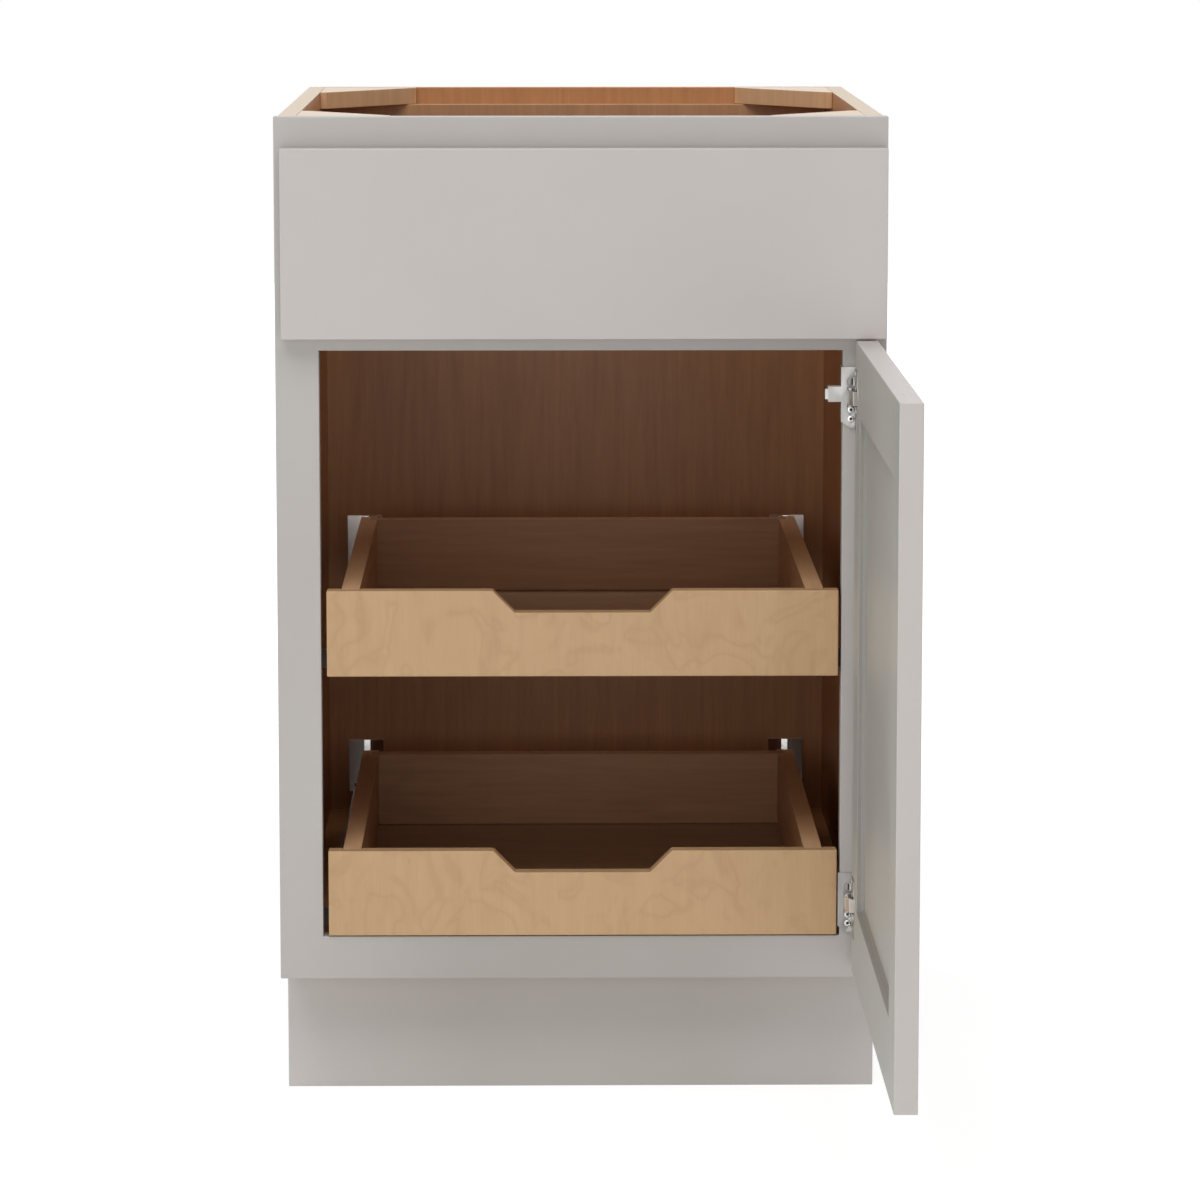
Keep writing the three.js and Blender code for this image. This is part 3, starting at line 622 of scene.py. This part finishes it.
along_x, along_y, along_z = (1, 0, 0), (0, 1, 0), (0, 0, 1)
front_maple = maple(
    "pale_curly_maple",
    along_z,
    screen_colour(196, 161, 120),
    screen_colour(190, 154, 114),
    screen_colour(158, 120, 78),
    # The fourth tone is darker than the face: painted shade on the tray fronts' edges.
    screen_colour(168, 118, 80),
    ring_size=0.04,
    ring_stretch=0.2,
    ring_share=0.22,
    ring_lines=3.6,
    streak=0.012,
    fleck=0.5,
    fleck_stretch=0.6,
)
lining_tones = [screen_colour(*tone) for tone in ((199, 142, 90), (182, 126, 78), (136, 88, 50), (206, 152, 102))]
tray_tones = [screen_colour(*tone) for tone in ((190, 143, 102), (174, 127, 88), (130, 88, 57), (206, 160, 118))]
lining_maple = {
    "x": maple("lining_maple_across", along_x, *lining_tones),
    "z": maple("lining_maple_upright", along_z, *lining_tones),
}
tray_maple = {
    "z": maple("nailer_maple", along_z, *tray_tones),
    "x": maple("tray_maple_across", along_x, *tray_tones),
    "y": maple("tray_maple_deep", along_y, *tray_tones),
}
bottom_tones = [screen_colour(*tone) for tone in ((190, 156, 124), (176, 141, 110), (136, 102, 74), (200, 168, 136))]
bottom_maple = maple("tray_bottom_maple", along_x, *bottom_tones)
pale_tones = [screen_colour(*tone) for tone in ((226, 184, 142), (215, 172, 130), (168, 124, 86), (230, 190, 150))]
pale_edge_maple = {
    "y": maple("tray_edge_maple", along_y, *pale_tones),
    "z": maple("brace_edge_maple", along_z, *pale_tones),
}
print("maple finishes:", 2 + len(lining_maple) + len(tray_maple) + len(pale_edge_maple))

# %% [markdown]
# ## Plywood edges and raw backs
# The top edges of the sides and the braces are bare plywood. Their plies show as thin bands, dark and pale
# in turn, 2.6 mm apart. A wave texture gives the bands, and the grain group breaks them up.

# %% Plywood
ply_pale = screen_colour(230, 217, 202)
ply_deep = screen_colour(206, 184, 158)
ply_pitch = 0.0026


def plywood(name, across, along, pale=ply_pale, deep=ply_deep):
    """Bare plywood seen edge on: bands across one direction."""
    made, tree, shader = new_finish(name)
    place = add_node(tree, "ShaderNodeTexCoord").outputs["Object"]
    wave = add_node(
        tree,
        "ShaderNodeTexWave",
        {"Vector": place, "Scale": math.pi / 10 / ply_pitch, "Distortion": 0.6, "Detail": 1.0},
        wave_type="BANDS",
        bands_direction=across,
    )
    grain = use_group(tree, grain_group, Along=along, Streak_Width=0.006)
    band = spread(tree, wave.outputs["Fac"], 0.35, 0.65, 0.0, 0.6)
    face = blend_colour(tree, band, pale, deep)
    streaks = spread(tree, grain["Streak"], 0.3, 0.7, 0.3, 0.0)
    feed(tree, shader, "Base Color", blend_colour(tree, streaks, face, deep))
    feed(tree, shader, "Roughness", spread(tree, grain["Pore"], 0.3, 0.7, 0.6, 0.75))
    feed_bump(tree, shader, grain["Streak"], 0.0001, 0.5)
    return made


side_edge_ply = plywood("plywood_edge_deep", "X", along_y)
pale_ply = maple(
    "plywood_face_pale",
    along_x,
    screen_colour(226, 208, 188),
    screen_colour(212, 190, 166),
    screen_colour(190, 160, 130),
    screen_colour(230, 214, 196),
)
print("plywood bands every", ply_pitch * 1000, "mm")

# %% [markdown]
# ## Steel fittings
# The hinges and brackets are nickel plated, bright and slightly warm. The slides are zinc plated, greyer and
# duller. The screws are the brightest. All three share the rolled-steel group.


# %% Steel recipe
def plated(name, bright, dull, along, rough_low, rough_high, lean=0.0):
    """Plated steel with rolling lines and a cloudy gloss. A lean tips its faces up by that slope."""
    made, tree, shader = new_finish(name)
    steel = use_group(tree, steel_group, Along=along)
    edge = use_group(tree, edge_wear_and_painted_light_group, Width=0.0004)
    cloud = spread(tree, steel["Cloud"], 0.35, 0.65, 0.0, 1.0)
    face = blend_colour(tree, cloud, dull, bright)
    lit_edge = sum_of(tree, "MULTIPLY", edge["Mask"], 0.5)
    feed(tree, shader, "Base Color", blend_colour(tree, lit_edge, face, bright))
    shader.inputs["Metallic"].default_value = 1.0
    lines = spread(tree, steel["Line"], 0.3, 0.7, rough_low, rough_high)
    feed(tree, shader, "Roughness", lines)
    feed_bump(tree, shader, steel["Line"], 0.000004, 0.2, lean)
    return made


nickel = plated("satin_nickel", screen_colour(182, 180, 177), screen_colour(168, 166, 163), along_z, 0.38, 0.5)
bright_tones = [screen_colour(226, 222, 218), screen_colour(214, 210, 206)]
bracket_nickel = {
    "upper": plated("bright_nickel", *bright_tones, along_z, 0.1, 0.16, lean=0.082),
    "lower": plated("plain_nickel", *bright_tones, along_z, 0.1, 0.16),
}
# The hooks take a darker copy of the bracket's nickel: painted shade that tones down the lamp's reflection on their
# fronts.
hook_nickel_painted_shade = plated("hook_nickel_painted_shade", screen_colour(192, 188, 185), screen_colour(180, 177, 174), along_z, 0.2, 0.28)
# The link takes a paler copy of the nickel: painted light that lifts the shade it sits in between plate and door.
link_nickel_painted_light = plated("link_nickel_painted_light", screen_colour(232, 229, 225), screen_colour(220, 217, 212), along_z, 0.4, 0.5)
zinc = plated("dull_zinc", screen_colour(158, 160, 162), screen_colour(140, 142, 145), along_y, 0.4, 0.55)
screw_steel = plated("screw_steel", screen_colour(238, 237, 234), screen_colour(220, 218, 214), along_x, 0.16, 0.3)
# Dark steel for screw drives, the cam's slot floor and the rails' front ends: painted shade in hollows and shadowed
# ends.
recess_shade_steel = plated("recess_painted_shade", screen_colour(76, 74, 71), screen_colour(58, 56, 54), along_x, 0.5, 0.6)
print("steel finishes: nickel, zinc, screws")

# %% [markdown]
# ## White plastic
# The upper hinge carries a little damper that slows the door. It is moulded in white plastic, a little
# glossier than the paint, with the faint mottling that moulding leaves.

# %% White plastic
white_plastic, tree, shader = new_finish("white_damper_plastic")
skin = use_group(tree, skin_group, Peel_Size=0.0008, Patch_Size=0.004)
milky = blend_colour(tree, skin["Patch"], screen_colour(218, 217, 213), screen_colour(230, 229, 225))
feed(tree, shader, "Base Color", milky)
feed(tree, shader, "Roughness", spread(tree, skin["Patch"], 0.3, 0.7, 0.28, 0.38))
feed_bump(tree, shader, skin["Peel"], 0.00001, 0.3)
print("white plastic ready")


# %% [markdown]
# ## Easing the boards
# A board in the measured model has perfectly sharp corners, and no real board does. Each one is copied, the
# loose triangles are merged back into flat faces, and every outer corner is rounded by a fraction of a
# millimetre. The copy then stands for the measured board. A bevel modifier could do it too, but doing it on
# the mesh lets the code choose only the convex corners.

# %% Easing helper
def finish_shape(
    shape, name, materials, ease, stands_for, steps=2, pick=None, smooth=False, shortest=0.0
):
    """Eases a mesh's outer corners and lets it take the place of measured pieces."""
    bmesh.ops.dissolve_limit(
        shape, angle_limit=math.radians(0.5), verts=shape.verts, edges=shape.edges
    )
    corners = [
        edge
        for edge in shape.edges
        if len(edge.link_faces) == 2
        and edge.is_convex
        and edge.calc_face_angle() > math.radians(40)
        and edge.calc_length() > max(shortest, 3 * ease)
    ]
    bmesh.ops.bevel(
        shape,
        geom=corners,
        offset=ease,
        offset_type="OFFSET",
        segments=steps,
        profile=0.5,
        affect="EDGES",
        clamp_overlap=True,
    )
    mesh = bpy.data.meshes.new(name)
    for finish in materials:
        mesh.materials.append(finish)
    for face in shape.faces:
        face.material_index = pick(face) if pick else 0
        face.smooth = smooth
    shape.to_mesh(mesh)
    shape.free()
    if smooth:
        mesh.set_sharp_from_angle(angle=math.radians(32))
    made = bpy.data.objects.new(name, mesh)
    bpy.context.scene.collection.objects.link(made)
    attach(made, body_of_node[stands_for[0]])
    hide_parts(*stands_for)
    return made


def eased_copy(node_name, materials, ease, reshape=None, **settings):
    """A copy of one measured piece with its loose triangles merged and its corners eased."""
    shape = bmesh.new()
    shape.from_mesh(frame["nodes"][node_name].data)
    bmesh.ops.remove_doubles(shape, verts=shape.verts, dist=2e-6)
    if reshape:
        reshape(shape)
    return finish_shape(shape, node_name + "_finished", materials, ease, [node_name], **settings)


print("corners are eased on copies, never on the measured pieces")

# %% [markdown]
# ## The painted front
# The face frame, the toe board, the drawer front and the door are all painted. Their corners are eased more
# than a metal edge and less than a handle: about three quarters of a millimetre.

# %% Painted boards
paint_ease = 0.0007
front_nodes = ["drawer_front", "door_hinge_stile", "door_free_stile", "door_top_rail", "door_bottom_rail"]
front_nodes.append("door_panel")


door_low, door_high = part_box("door_free_stile")[0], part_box("door_hinge_stile")[1]
door_middle_x = (door_low.x + door_high.x) / 2
joint_length = 0.014


def door_shade_finish(face):
    """The inner side of the door takes a darker, cooler copy of the front grey, and the walls of its recess a deeper
    one: both painted shade.
    """
    if face.normal.x < -0.5:
        return 1
    centre = face.calc_center_median()
    from_rim = min(centre.y - door_low.y, door_high.y - centre.y, centre.z - door_low.z, door_high.z - centre.z)
    return 2 if centre.x < door_middle_x and from_rim > 0.01 else 0


for name in front_nodes:
    eased_copy(
        name,
        [front_paint, inner_shaded_paint, recess_shaded_paint],
        paint_ease,
        pick=door_shade_finish if name.startswith("door") else None,
        shortest=joint_length,
    )
eased_copy("toe_board", [toe_lifted_paint], paint_ease)
print(len(front_nodes) + 1, "painted boards")

# %% [markdown]
# ## The bead round the door panel
# Where the panel meets its frame, a small sloping bead softens the step. It is one ring with a triangular
# section, mitred at its corners, so four outline points are repeated at three depths. The door has one on
# each side.


# %% Panel beads
bead_size = 0.0034
bead_seat = 0.0001


def panel_bead(name, wall_x, panel_x):
    """A mitred ring that slopes from the recess wall down to the panel."""
    rail_top, rail_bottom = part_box("door_top_rail"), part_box("door_bottom_rail")
    hinge_side, free_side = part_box("door_hinge_stile"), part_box("door_free_stile")
    outward = 1 if wall_x > panel_x else -1
    shape = bmesh.new()
    rings = []
    for inset, level in ((bead_seat, bead_seat), (bead_seat, bead_size), (bead_size, bead_seat)):
        x = panel_x + outward * level
        y_low, y_high = free_side[1].y + inset, hinge_side[0].y - inset
        z_low, z_high = rail_bottom[1].z + inset, rail_top[0].z - inset
        outline = ((y_low, z_low), (y_high, z_low), (y_high, z_high), (y_low, z_high))
        rings.append([shape.verts.new((x, y, z)) for y, z in outline])
    for inner, outer in ((0, 1), (1, 2), (2, 0)):
        for step in range(4):
            after = (step + 1) % 4
            shape.faces.new(
                (rings[inner][step], rings[inner][after], rings[outer][after], rings[outer][step])
            )
    bmesh.ops.recalc_face_normals(shape, faces=shape.faces)
    mesh = bpy.data.meshes.new(name)
    # The inner bead takes the recess's painted shade.
    mesh.materials.append(recess_shaded_paint if outward < 0 else front_paint)
    shape.to_mesh(mesh)
    shape.free()
    made = bpy.data.objects.new(name, mesh)
    bpy.context.scene.collection.objects.link(made)
    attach(made, "door")
    return made


panel_low, panel_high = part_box("door_panel")
panel_bead("door_inner_bead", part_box("door_hinge_stile")[0].x, panel_low.x)
panel_bead("door_outer_bead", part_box("door_hinge_stile")[1].x, panel_high.x)
print("beads stand", bead_size * 1000, "mm from the panel's corner")

# %% [markdown]
# ## The face frame
# The five boards of the face frame are glued, sanded flush and sprayed together, so no joint shows. One mesh
# stands for all five: a grid of cells with the two openings left out, which is then eased along its free
# edges only. Five eased boards side by side would show a groove at every joint.

# %% Face frame
frame_boards = ["left_stile", "right_stile", "top_rail", "middle_rail", "bottom_rail"]
left_low, left_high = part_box("left_stile")
right_low, right_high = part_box("right_stile")
grid_x = [left_low.x, left_high.x, right_low.x, right_high.x]
grid_z = [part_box(name)[side].z for name in ("bottom_rail", "middle_rail", "top_rail") for side in (0, 1)]
solid_rows = (0, 2, 4)
frame_shape = bmesh.new()
corner_at = {
    (i, j, k): frame_shape.verts.new((x, y, z))
    for i, x in enumerate(grid_x)
    for j, z in enumerate(grid_z)
    for k, y in enumerate((left_low.y, left_high.y))
}


def is_board(i, j):
    """True where a cell of the grid is wood and not opening."""
    return 0 <= i < 3 and 0 <= j < 5 and (i != 1 or j in solid_rows)


def add_face(*keys):
    """A face through the named grid corners."""
    frame_shape.faces.new([corner_at[key] for key in keys])


for i in range(3):
    for j in range(5):
        if not is_board(i, j):
            continue
        for k in (0, 1):
            add_face((i, j, k), (i + 1, j, k), (i + 1, j + 1, k), (i, j + 1, k))
        if not is_board(i - 1, j):
            add_face((i, j, 0), (i, j + 1, 0), (i, j + 1, 1), (i, j, 1))
        if not is_board(i + 1, j):
            add_face((i + 1, j, 0), (i + 1, j + 1, 0), (i + 1, j + 1, 1), (i + 1, j, 1))
        if not is_board(i, j - 1):
            add_face((i, j, 0), (i + 1, j, 0), (i + 1, j, 1), (i, j, 1))
        if not is_board(i, j + 1):
            add_face((i, j + 1, 0), (i + 1, j + 1, 0), (i + 1, j + 1, 1), (i, j + 1, 1))
bmesh.ops.recalc_face_normals(frame_shape, faces=frame_shape.faces)
finish_shape(frame_shape, "face_frame", [frame_paint], paint_ease, frame_boards)
print("face frame:", len(frame_boards), "boards in one coat")


# %% [markdown]
# ## The sides
# A side has three finishes at once: paint outside, maple veneer inside, and bare plywood along the top. The
# code reads each face's direction and picks the finish for it.

# %% Side panels
def side_finish(outward):
    """Picks paint for the outside and the toe notch, veneer for the inside and plywood for the top."""

    def pick(face):
        direction = face.normal
        if direction.z > 0.9:
            return 2
        if direction.x * outward < -0.5:
            return 1
        return 0

    return pick


for side, outward in (("left", -1), ("right", 1)):
    eased_copy(
        side + "_side_panel",
        [frame_paint, lining_maple["z"], side_edge_ply],
        0.0004,
        pick=side_finish(outward),
    )
print("sides: paint, veneer and plywood on one board each")

# %% [markdown]
# ## The lining, the drawer and the trays
# The grain runs the long way of each board, as a maker would cut it, and upright on the back panel. The
# table says which way that is. The tray fronts get the pale curly maple.

# %% Wooden boards
wood_ease = 0.0008
grain_way = {
    "back_panel": "z",
    "floor_panel": "x",
    "drawer_box_front": "x",
    "drawer_back": "x",
    "drawer_bottom": "y",
    "drawer_left_side": "y",
    "drawer_right_side": "y",
}
for tray in ("upper_tray", "lower_tray"):
    grain_way[tray + "_back"] = "x"
    grain_way[tray + "_bottom"] = "x"
    grain_way[tray + "_left_side"] = "y"
    grain_way[tray + "_right_side"] = "y"


def upper_edge(face):
    """The top edge of a board has a paler finish than its faces."""
    return 1 if face.normal.z > 0.9 else 0


for name, way in grain_way.items():
    if name in ("back_panel", "floor_panel"):
        eased_copy(name, [lining_maple[way]], wood_ease)
    elif name.endswith("_bottom"):
        eased_copy(name, [bottom_maple], wood_ease)
    elif name.endswith("_side"):
        eased_copy(name, [tray_maple[way], pale_edge_maple["y"]], wood_ease, pick=upper_edge)
    else:
        eased_copy(name, [tray_maple[way]], wood_ease)
for tray in ("upper_tray", "lower_tray"):
    eased_copy(tray + "_front", [front_maple], 0.001, steps=3)
print(len(grain_way) + 2, "wooden boards")

# %% [markdown]
# ## The nailer and the corner braces
# A nailer is the board across the back that the cabinet is screwed to the wall through, and the four braces
# square up its open top. The braces are cut from plywood: raw pale veneer above and below, and a browner cut
# edge. One mesh can carry both finishes, picked by the way each face looks.

# %% Nailer and corner braces
brace_nodes = [name for name in frame["nodes"] if name.endswith("corner_brace")]


def brace_finish(face):
    """Pale raw veneer on the flat faces of a brace, and maple on its edges."""
    return 0 if abs(face.normal.z) > 0.7 else 1


for name in brace_nodes:
    eased_copy(name, [pale_ply, pale_edge_maple["z"]], 0.0005, pick=brace_finish)
eased_copy("back_nailer", [tray_maple["z"]], 0.0005)
print(len(brace_nodes), "braces and a nailer")

# %% [markdown]
# ## Slides, brackets and hinges
# Pressed steel has tight corners, so these are eased by a tenth of a millimetre only. Round parts such as
# the hinge cups are shaded smooth, with their sharp rims kept.

# %% Metal pieces
rail_nodes = [name for name in frame["nodes"] if slot_of_node[name] == "zinc_steel"]
plated_nodes = [name for name in frame["nodes"] if slot_of_node[name] == "nickel_steel"]


def rail_end_shade_finish(face):
    """The open front ends of the fixed rails take the dark steel: painted shade for the shadow they lie in beside
    the fronts.
    """
    return 1 if face.normal.y < -0.9 else 0


for name in rail_nodes:
    if name.endswith("_rail"):
        eased_copy(name, [zinc, recess_shade_steel], 0.00012, steps=1, pick=rail_end_shade_finish)
    else:
        eased_copy(name, [zinc], 0.00012, steps=1)
damper_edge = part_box("upper_hinge_plate")[1].x - 0.0156


def hinge_finish(face):
    """The damper on the upper plate is white plastic, and the rest is steel."""
    return 1 if face.calc_center_median().x < damper_edge else 0


hook_lean = 0.18
hook_turn = 0.1
hook_reach = 0.014
plate_gauge = 0.0016


def slope_hook(shape):
    """Leans the hook's front back and turns it inward, as a pressed tongue is, so that it catches the light."""
    foot = min(vert.co.z for vert in shape.verts)
    front = max(vert.co.y for vert in shape.verts) - plate_gauge - hook_reach
    tip = [vert for vert in shape.verts if abs(vert.co.y - front) < 0.0001]
    middle = sum(abs(vert.co.x) for vert in tip) / len(tip)
    for vert in tip:
        vert.co.y = front + hook_lean * (vert.co.z - foot) - hook_turn * (abs(vert.co.x) - middle)


def hook_finish(face):
    """The sloping front of a hook takes plain steel in a darker tone, painted shade, and the rest of the bracket
    leans its light.
    """
    return 1 if face.normal.y < -0.5 and face.normal.z > 0.1 else 0


def cam_slot_shade_finish(face):
    """The floor of the cam's slot takes the dark steel: painted shade for the hollow."""
    slot_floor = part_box("upper_hinge_cam")[0].y + 0.0003
    return 1 if face.normal.y < -0.5 and face.calc_center_median().y > slot_floor else 0


for name in plated_nodes:
    if name == "upper_hinge_plate":
        eased_copy(name, [nickel, white_plastic], 0.00012, steps=1, smooth=True, pick=hinge_finish)
    elif name.endswith("_bracket"):
        plate_nickel = bracket_nickel[name[:5]]
        eased_copy(name, [plate_nickel, hook_nickel_painted_shade], 0.00012, slope_hook, steps=1, pick=hook_finish)
    elif name.endswith("_cam"):
        eased_copy(name, [nickel, recess_shade_steel], 0.00012, steps=1, smooth=True, pick=cam_slot_shade_finish)
    elif name.endswith("_link"):
        eased_copy(name, [link_nickel_painted_light], 0.00012, steps=1, smooth=True)
    else:
        eased_copy(name, [nickel], 0.00012, steps=1, smooth=True)
print(len(rail_nodes), "slide members,", len(plated_nodes), "hinge and bracket pieces")


# %% [markdown]
# ## Screws
# A cabinet is full of screws, and their bright heads are what the eye catches in the hinges. A head is a
# shallow dome with a cross recess. A boolean could cut the recess, but a ring of points whose height drops
# inside the cross is lighter and never fails.

# %% Screw helper
screw_sides = 28
screw_rings = (0.0, 0.16, 0.3, 0.44, 0.56, 0.72, 0.86, 1.0)


def screw_head(name, place, facing, radius, height, body, turn=0.0, drive="cross"):
    """A domed screw with a cross or a square drive. Its seat is at place, and it looks along facing."""
    shape = bmesh.new()
    rings = []
    sunk = set()
    for share in screw_rings:
        ring = []
        for step in range(1 if share == 0 else screw_sides):
            angle = 2 * math.pi * step / screw_sides
            x, y = share * math.cos(angle), share * math.sin(angle)
            dome = height * (1 - 0.55 * share**2)
            in_cross = min(abs(x), abs(y)) < 0.13 and share < 0.6
            in_square = max(abs(x), abs(y)) < 0.5
            in_drive = in_square if drive == "square" else in_cross
            level = dome - (0.5 * height if in_drive else 0)
            ring.append(shape.verts.new((radius * x, radius * y, level)))
            if in_drive:
                sunk.add(ring[-1])
        rings.append(ring)
    skirt = [shape.verts.new((v.co.x, v.co.y, 0)) for v in rings[-1]]
    rings.append(skirt)
    for step in range(screw_sides):
        after = (step + 1) % screw_sides
        shape.faces.new((rings[0][0], rings[1][step], rings[1][after]))
        for inner, outer in zip(rings[1:], rings[2:]):
            shape.faces.new((inner[step], outer[step], outer[after], inner[after]))
    shape.faces.new(tuple(reversed(skirt)))
    bmesh.ops.recalc_face_normals(shape, faces=shape.faces)
    stand = Vector(facing).to_track_quat("Z", "Y").to_matrix().to_4x4()
    shape.transform(Matrix.Translation(place) @ stand @ Matrix.Rotation(turn, 4, "Z"))
    mesh = bpy.data.meshes.new(name)
    mesh.materials.append(screw_steel)
    mesh.materials.append(recess_shade_steel)
    # Faces inside the drive take the dark steel: painted shade in the recess.
    for face in shape.faces:
        face.material_index = 1 if all(vert in sunk for vert in face.verts) else 0
    shape.to_mesh(mesh)
    shape.free()
    made = bpy.data.objects.new(name, mesh)
    bpy.context.scene.collection.objects.link(made)
    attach(made, body)
    return made


print("a screw head has", (len(screw_rings) - 1) * screw_sides + 1, "points on top")

# %% [markdown]
# ## Screws in the hinges
# Two screws hold each hinge plate to the stile, and two hold each cup to the door. They sit at the places
# where the plate and the cup are flat. The cup's screws ride on the door, and the plate's stay with the frame.

# %% Hinge screws
hinge_levels = {"upper": 0.6325, "lower": 0.1831}
toward_room, toward_opening = (0, -1, 0), (-1, 0, 0)
plate_face_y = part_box("upper_hinge_cam")[0].y
cam_x = (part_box("upper_hinge_cam")[0].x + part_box("upper_hinge_cam")[1].x) / 2
for level, height in hinge_levels.items():
    for number, offset in enumerate((-0.0115, -0.0196)):
        screw_head(
            f"{level}_plate_screw_{number + 1}",
            (cam_x - 0.0008, plate_face_y, height + offset),
            toward_room,
            0.0029,
            0.0004,
            "cabinet",
            turn=0.1 * number,
            drive="square",
        )
    cup_low, cup_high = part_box(level + "_hinge_cup")
    for number, offset in enumerate((-0.0215, 0.0215)):
        screw_head(
            f"{level}_cup_screw_{number + 1}",
            (cup_low.x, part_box("door_hinge_stile")[1].y - 0.0125, height + offset),
            toward_opening,
            0.0026,
            0.0004,
            "door",
            turn=0.9 * number,
        )
print("hinge screws: 8")

# %% [markdown]
# ## Screws in the rear brackets
# Each tray rail ends in a bracket on the back panel. Two round-headed screws hold it, one above the other on
# its inner wing. They could be drawn as part of the bracket, but as pieces of their own they catch the light
# like real ones, from every side.

# %% Bracket screws
for tray in ("upper_tray", "lower_tray"):
    for side, sign in (("left", -1), ("right", 1)):
        low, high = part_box(f"{tray}_{side}_bracket")
        plate_face = high.y - 0.0016
        plate_inner = low.x if sign > 0 else high.x
        for number, drop in enumerate((0.017, 0.036)):
            screw_head(
                f"{tray}_{side}_bracket_screw_{number + 1}",
                (plate_inner + sign * 0.0065, plate_face, high.z - drop),
                toward_room,
                0.0032,
                0.0014,
                "cabinet",
                turn=0.7 * number + sign,
            )
print("bracket screws: 8")

# %% [markdown]
# ## Runner and drawer screws
# Three screws hold each moving runner to its tray, and they show when a tray is pulled out. They sit on the
# runner's flat strip, above its tongue, thin enough to pass the fixed rail's lips. Two bigger screws inside
# the drawer hold its front.

# %% Runner and drawer screws
for carrier in ("drawer", "upper_tray", "lower_tray"):
    for side, sign in (("left", -1), ("right", 1)):
        low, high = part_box(f"{carrier}_{side}_runner")
        strip_face = (low.x + 0.0012) if sign > 0 else (high.x - 0.0012)
        for number, share in enumerate((0.08, 0.5, 0.92)):
            screw_head(
                f"{carrier}_{side}_runner_screw_{number + 1}",
                (strip_face, low.y + share * (high.y - low.y), high.z - 0.003),
                (sign, 0, 0),
                0.0022,
                0.0008,
                carrier,
                turn=0.5 * number,
            )
front_low, front_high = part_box("drawer_box_front")
for number, x in enumerate((-0.13, 0.132)):
    screw_head(
        f"drawer_front_screw_{number + 1}",
        (x, front_high.y, (front_low.z + front_high.z) / 2),
        (0, 1, 0),
        0.0045,
        0.002,
        "drawer",
        turn=0.3 + number,
    )
print("runner screws: 18, drawer screws: 2")


# %% [markdown]
# ## Showing it as it is
# The plain Standard transform keeps the paint the colour that was mixed.

# %% Finish
bpy.context.scene.view_settings.view_transform = "Standard"
